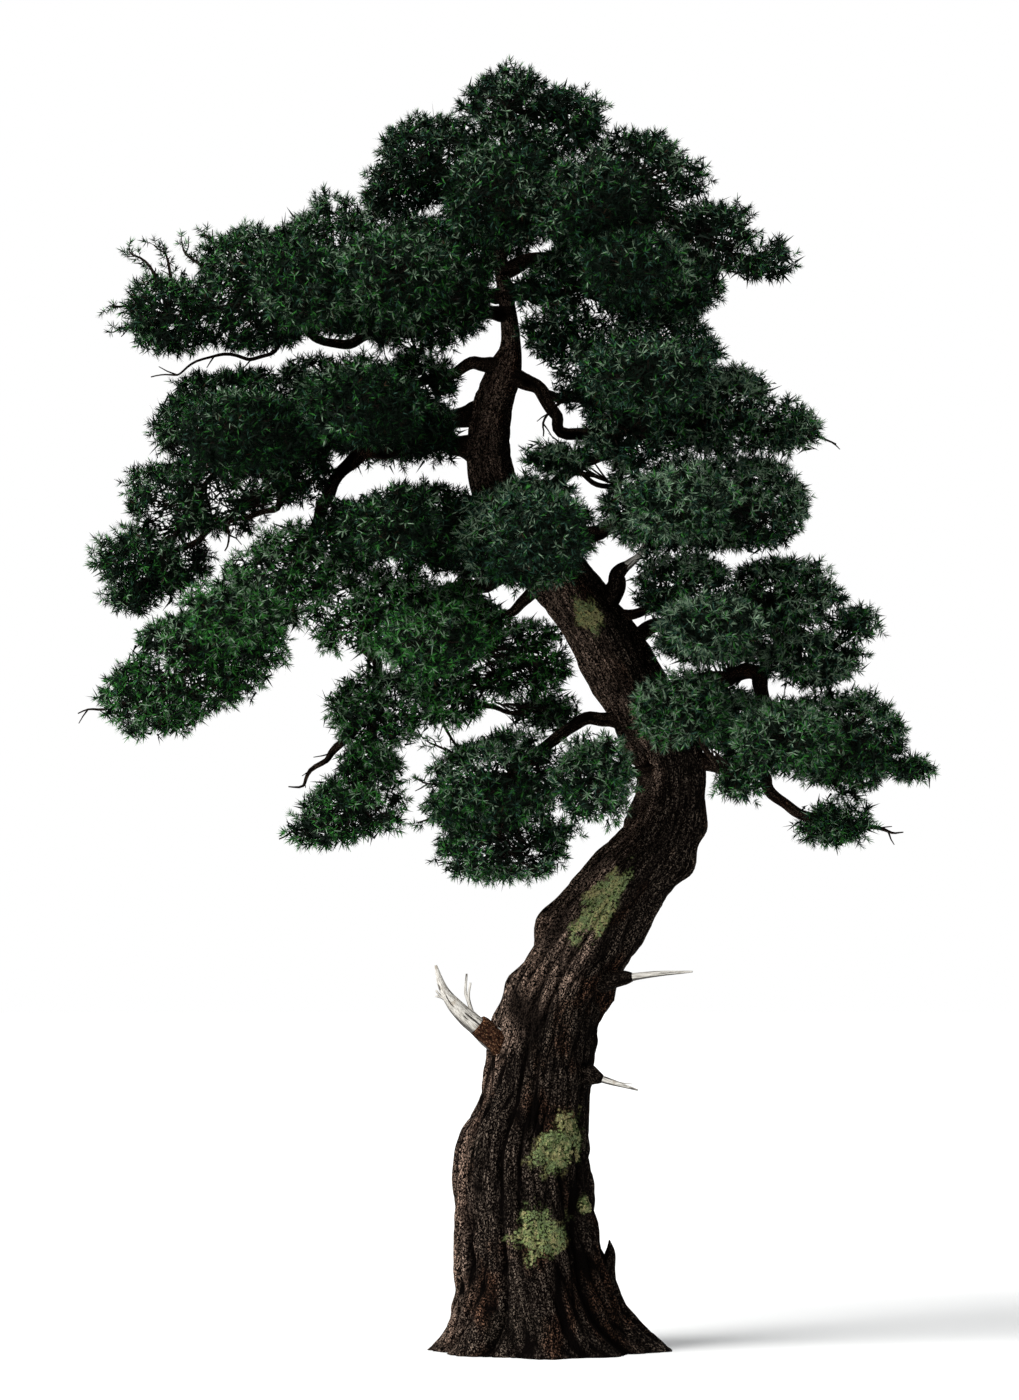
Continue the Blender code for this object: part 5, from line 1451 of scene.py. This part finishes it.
def needle_pairs(tip, direction, dice):
    """Four points for each pair of needles on each shoot: the two edges of the sheath, then the two tips."""
    count = len(tip)
    across, beside = square_to(direction, (0.22, 0.31, 0.92))
    place = (np.arange(PAIRS) + 0.5) / PAIRS
    place = np.clip(place + dice.normal(0, PLACE_JITTER, (count, PAIRS)), 0, 1)
    turn = np.arange(PAIRS) * GOLDEN_ANGLE + dice.uniform(0, math.tau, (count, 1))
    turn = turn + dice.normal(0, TURN_JITTER, (count, PAIRS))
    open_at = np.radians(NEEDLE_OPEN[0] + (NEEDLE_OPEN[1] - NEEDLE_OPEN[0]) * place**NEEDLE_CLOSING)
    open_at = open_at + dice.normal(0, OPEN_JITTER, (count, PAIRS))
    course = round_axis(direction[:, None], round_axis(across[:, None], beside[:, None], turn), open_at)
    foot = tip[:, None] - direction[:, None] * (NEEDLED * (1 - place))[..., None]
    size = dice.uniform(*NEEDLE_LENGTH, (count, PAIRS))[..., None]
    flat = unit(np.cross(course, dice.normal(size=course.shape)))
    edge = unit(np.cross(course, flat)) * NEEDLE_WIDTH / 2
    along = course * math.cos(PAIR_SPREAD)
    apart = flat * math.sin(PAIR_SPREAD)
    tips = [foot + (along + apart) * size, foot + (along - apart) * size]
    return np.stack([foot - edge, foot + edge, *tips], axis=2)


def clump_lightness(places):
    """A value that drifts about 0 from clump to clump through the crown, seldom beyond -1 or 1."""
    waves = unit(np.random.default_rng(SEED + 130).normal(size=(3, CLUMP_WAVES))) * math.tau / CLUMP_LENGTH
    return np.sin(places @ waves + np.arange(CLUMP_WAVES)).sum(axis=-1) / (CLUMP_WAVES / 2)


def inner_needles(tip, facing, dice):
    """Three points for each of the dark blades of painted shade that lie across the twigs behind each spray.
    """
    course = unit(dice.normal(size=(len(tip), INNER_NEEDLES, 3)) - facing[:, None] * INNER_LEAN)
    foot = tip[:, None] - facing[:, None] * dice.uniform(*INNER_DEPTH, (len(tip), INNER_NEEDLES, 1))
    size = dice.uniform(*INNER_LENGTH, (len(tip), INNER_NEEDLES, 1))
    edge = unit(np.cross(course, dice.normal(size=course.shape))) * INNER_WIDTH / 2
    return np.stack([foot - edge, foot + edge, foot + course * size], axis=2)


def heart_needles(lobe, dice):
    """Three points for each of the dark blades of painted shade among the limbs inside a lobe."""
    count = round(HEART_NEEDLES * lobe[3] * lobe[5])
    rays = unit(dice.normal(size=(count, 3)))
    foot = lobe[:3] + rays * lobe_reach(lobe, rays) * HEART_REACH * np.sqrt(dice.random((count, 1)))
    course = unit(dice.normal(size=(count, 3)))
    edge = unit(np.cross(course, dice.normal(size=(count, 3)))) * INNER_WIDTH / 2
    tip = foot + course * dice.uniform(*INNER_LENGTH, (count, 1))
    return np.stack([foot - edge, foot + edge, tip], axis=1)


needle_materials = []
for name, colour in NEEDLE_SHADES:
    material, tree, shader = new_material(name)
    shader.inputs["Base Color"].default_value = colour
    shader.inputs["Roughness"].default_value = NEEDLE_ROUGHNESS
    shader.inputs["Specular IOR Level"].default_value = NEEDLE_GLOSS
    needle_materials.append(material)

for index, (part, names, shares) in enumerate(CROWN_PARTS):
    dice = np.random.default_rng([SEED, 120, index])
    tip, course, facing = (np.concatenate([shoots_of[name][field] for name in names]) for field in range(3))
    inner = [inner_needles(tip[::SHOOTS], facing[::SHOOTS], dice).reshape(-1, 3, 3)]
    inner += [heart_needles(lobe, dice) for name in names for lobe in lobes_of[name]]
    inner = np.concatenate(inner)
    for tufts in sum((tufts_of[name] for name in names), []):
        outward = unit(tufts[:, 1] - tufts[:, 0])
        tip = np.concatenate([tip, tufts[:, 1]])
        course = np.concatenate([course, outward])
        facing = np.concatenate([facing, outward])
    # Painted light and shade from the facing, plus tone that differs at random by clump and by spray.
    tone_and_painted_light = facing[:, 2] * TOP_LIGHT_AND_NEW_GROWTH - facing[:, 0] * RIGHT_PAINTED_SHADE + CLUMP_MOOD * clump_lightness(tip)
    moods = dice.normal(0, SPRAY_MOOD, math.ceil(len(tip) / SHOOTS))
    tone_and_painted_light = tone_and_painted_light + np.repeat(moods, SHOOTS)[:len(tip)]
    drawn = np.clip(dice.random((len(tip), PAIRS)) + tone_and_painted_light[:, None], 0, 0.9999)
    shade = np.searchsorted(np.cumsum(shares) / np.sum(shares), drawn)
    pairs = needle_pairs(tip, unit(course + facing * OUTWARD), dice)
    points = np.concatenate([pairs.reshape(-1, 3), inner.reshape(-1, 3)])
    first = np.arange(pairs[..., 0].size // 4) * 4
    triangles = np.stack([first, first + 1, first + 2, first, first + 1, first + 3], axis=1).reshape(-1, 3)
    shades = np.repeat(shade.ravel(), 2)
    within = pairs[..., 0].size + np.arange(inner[..., 0].size).reshape(-1, 3)
    triangles = np.concatenate([triangles, within])
    # The inner blades all take the darkest green, needles_deep, as painted shade.
    shades = np.concatenate([shades, np.zeros(len(within), int)])
    needles = add_piece("needles_" + part, points, triangles, needle_materials, shades, smooth=False)
    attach(needles, "root")
    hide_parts(*["mass_" + name for name in names])
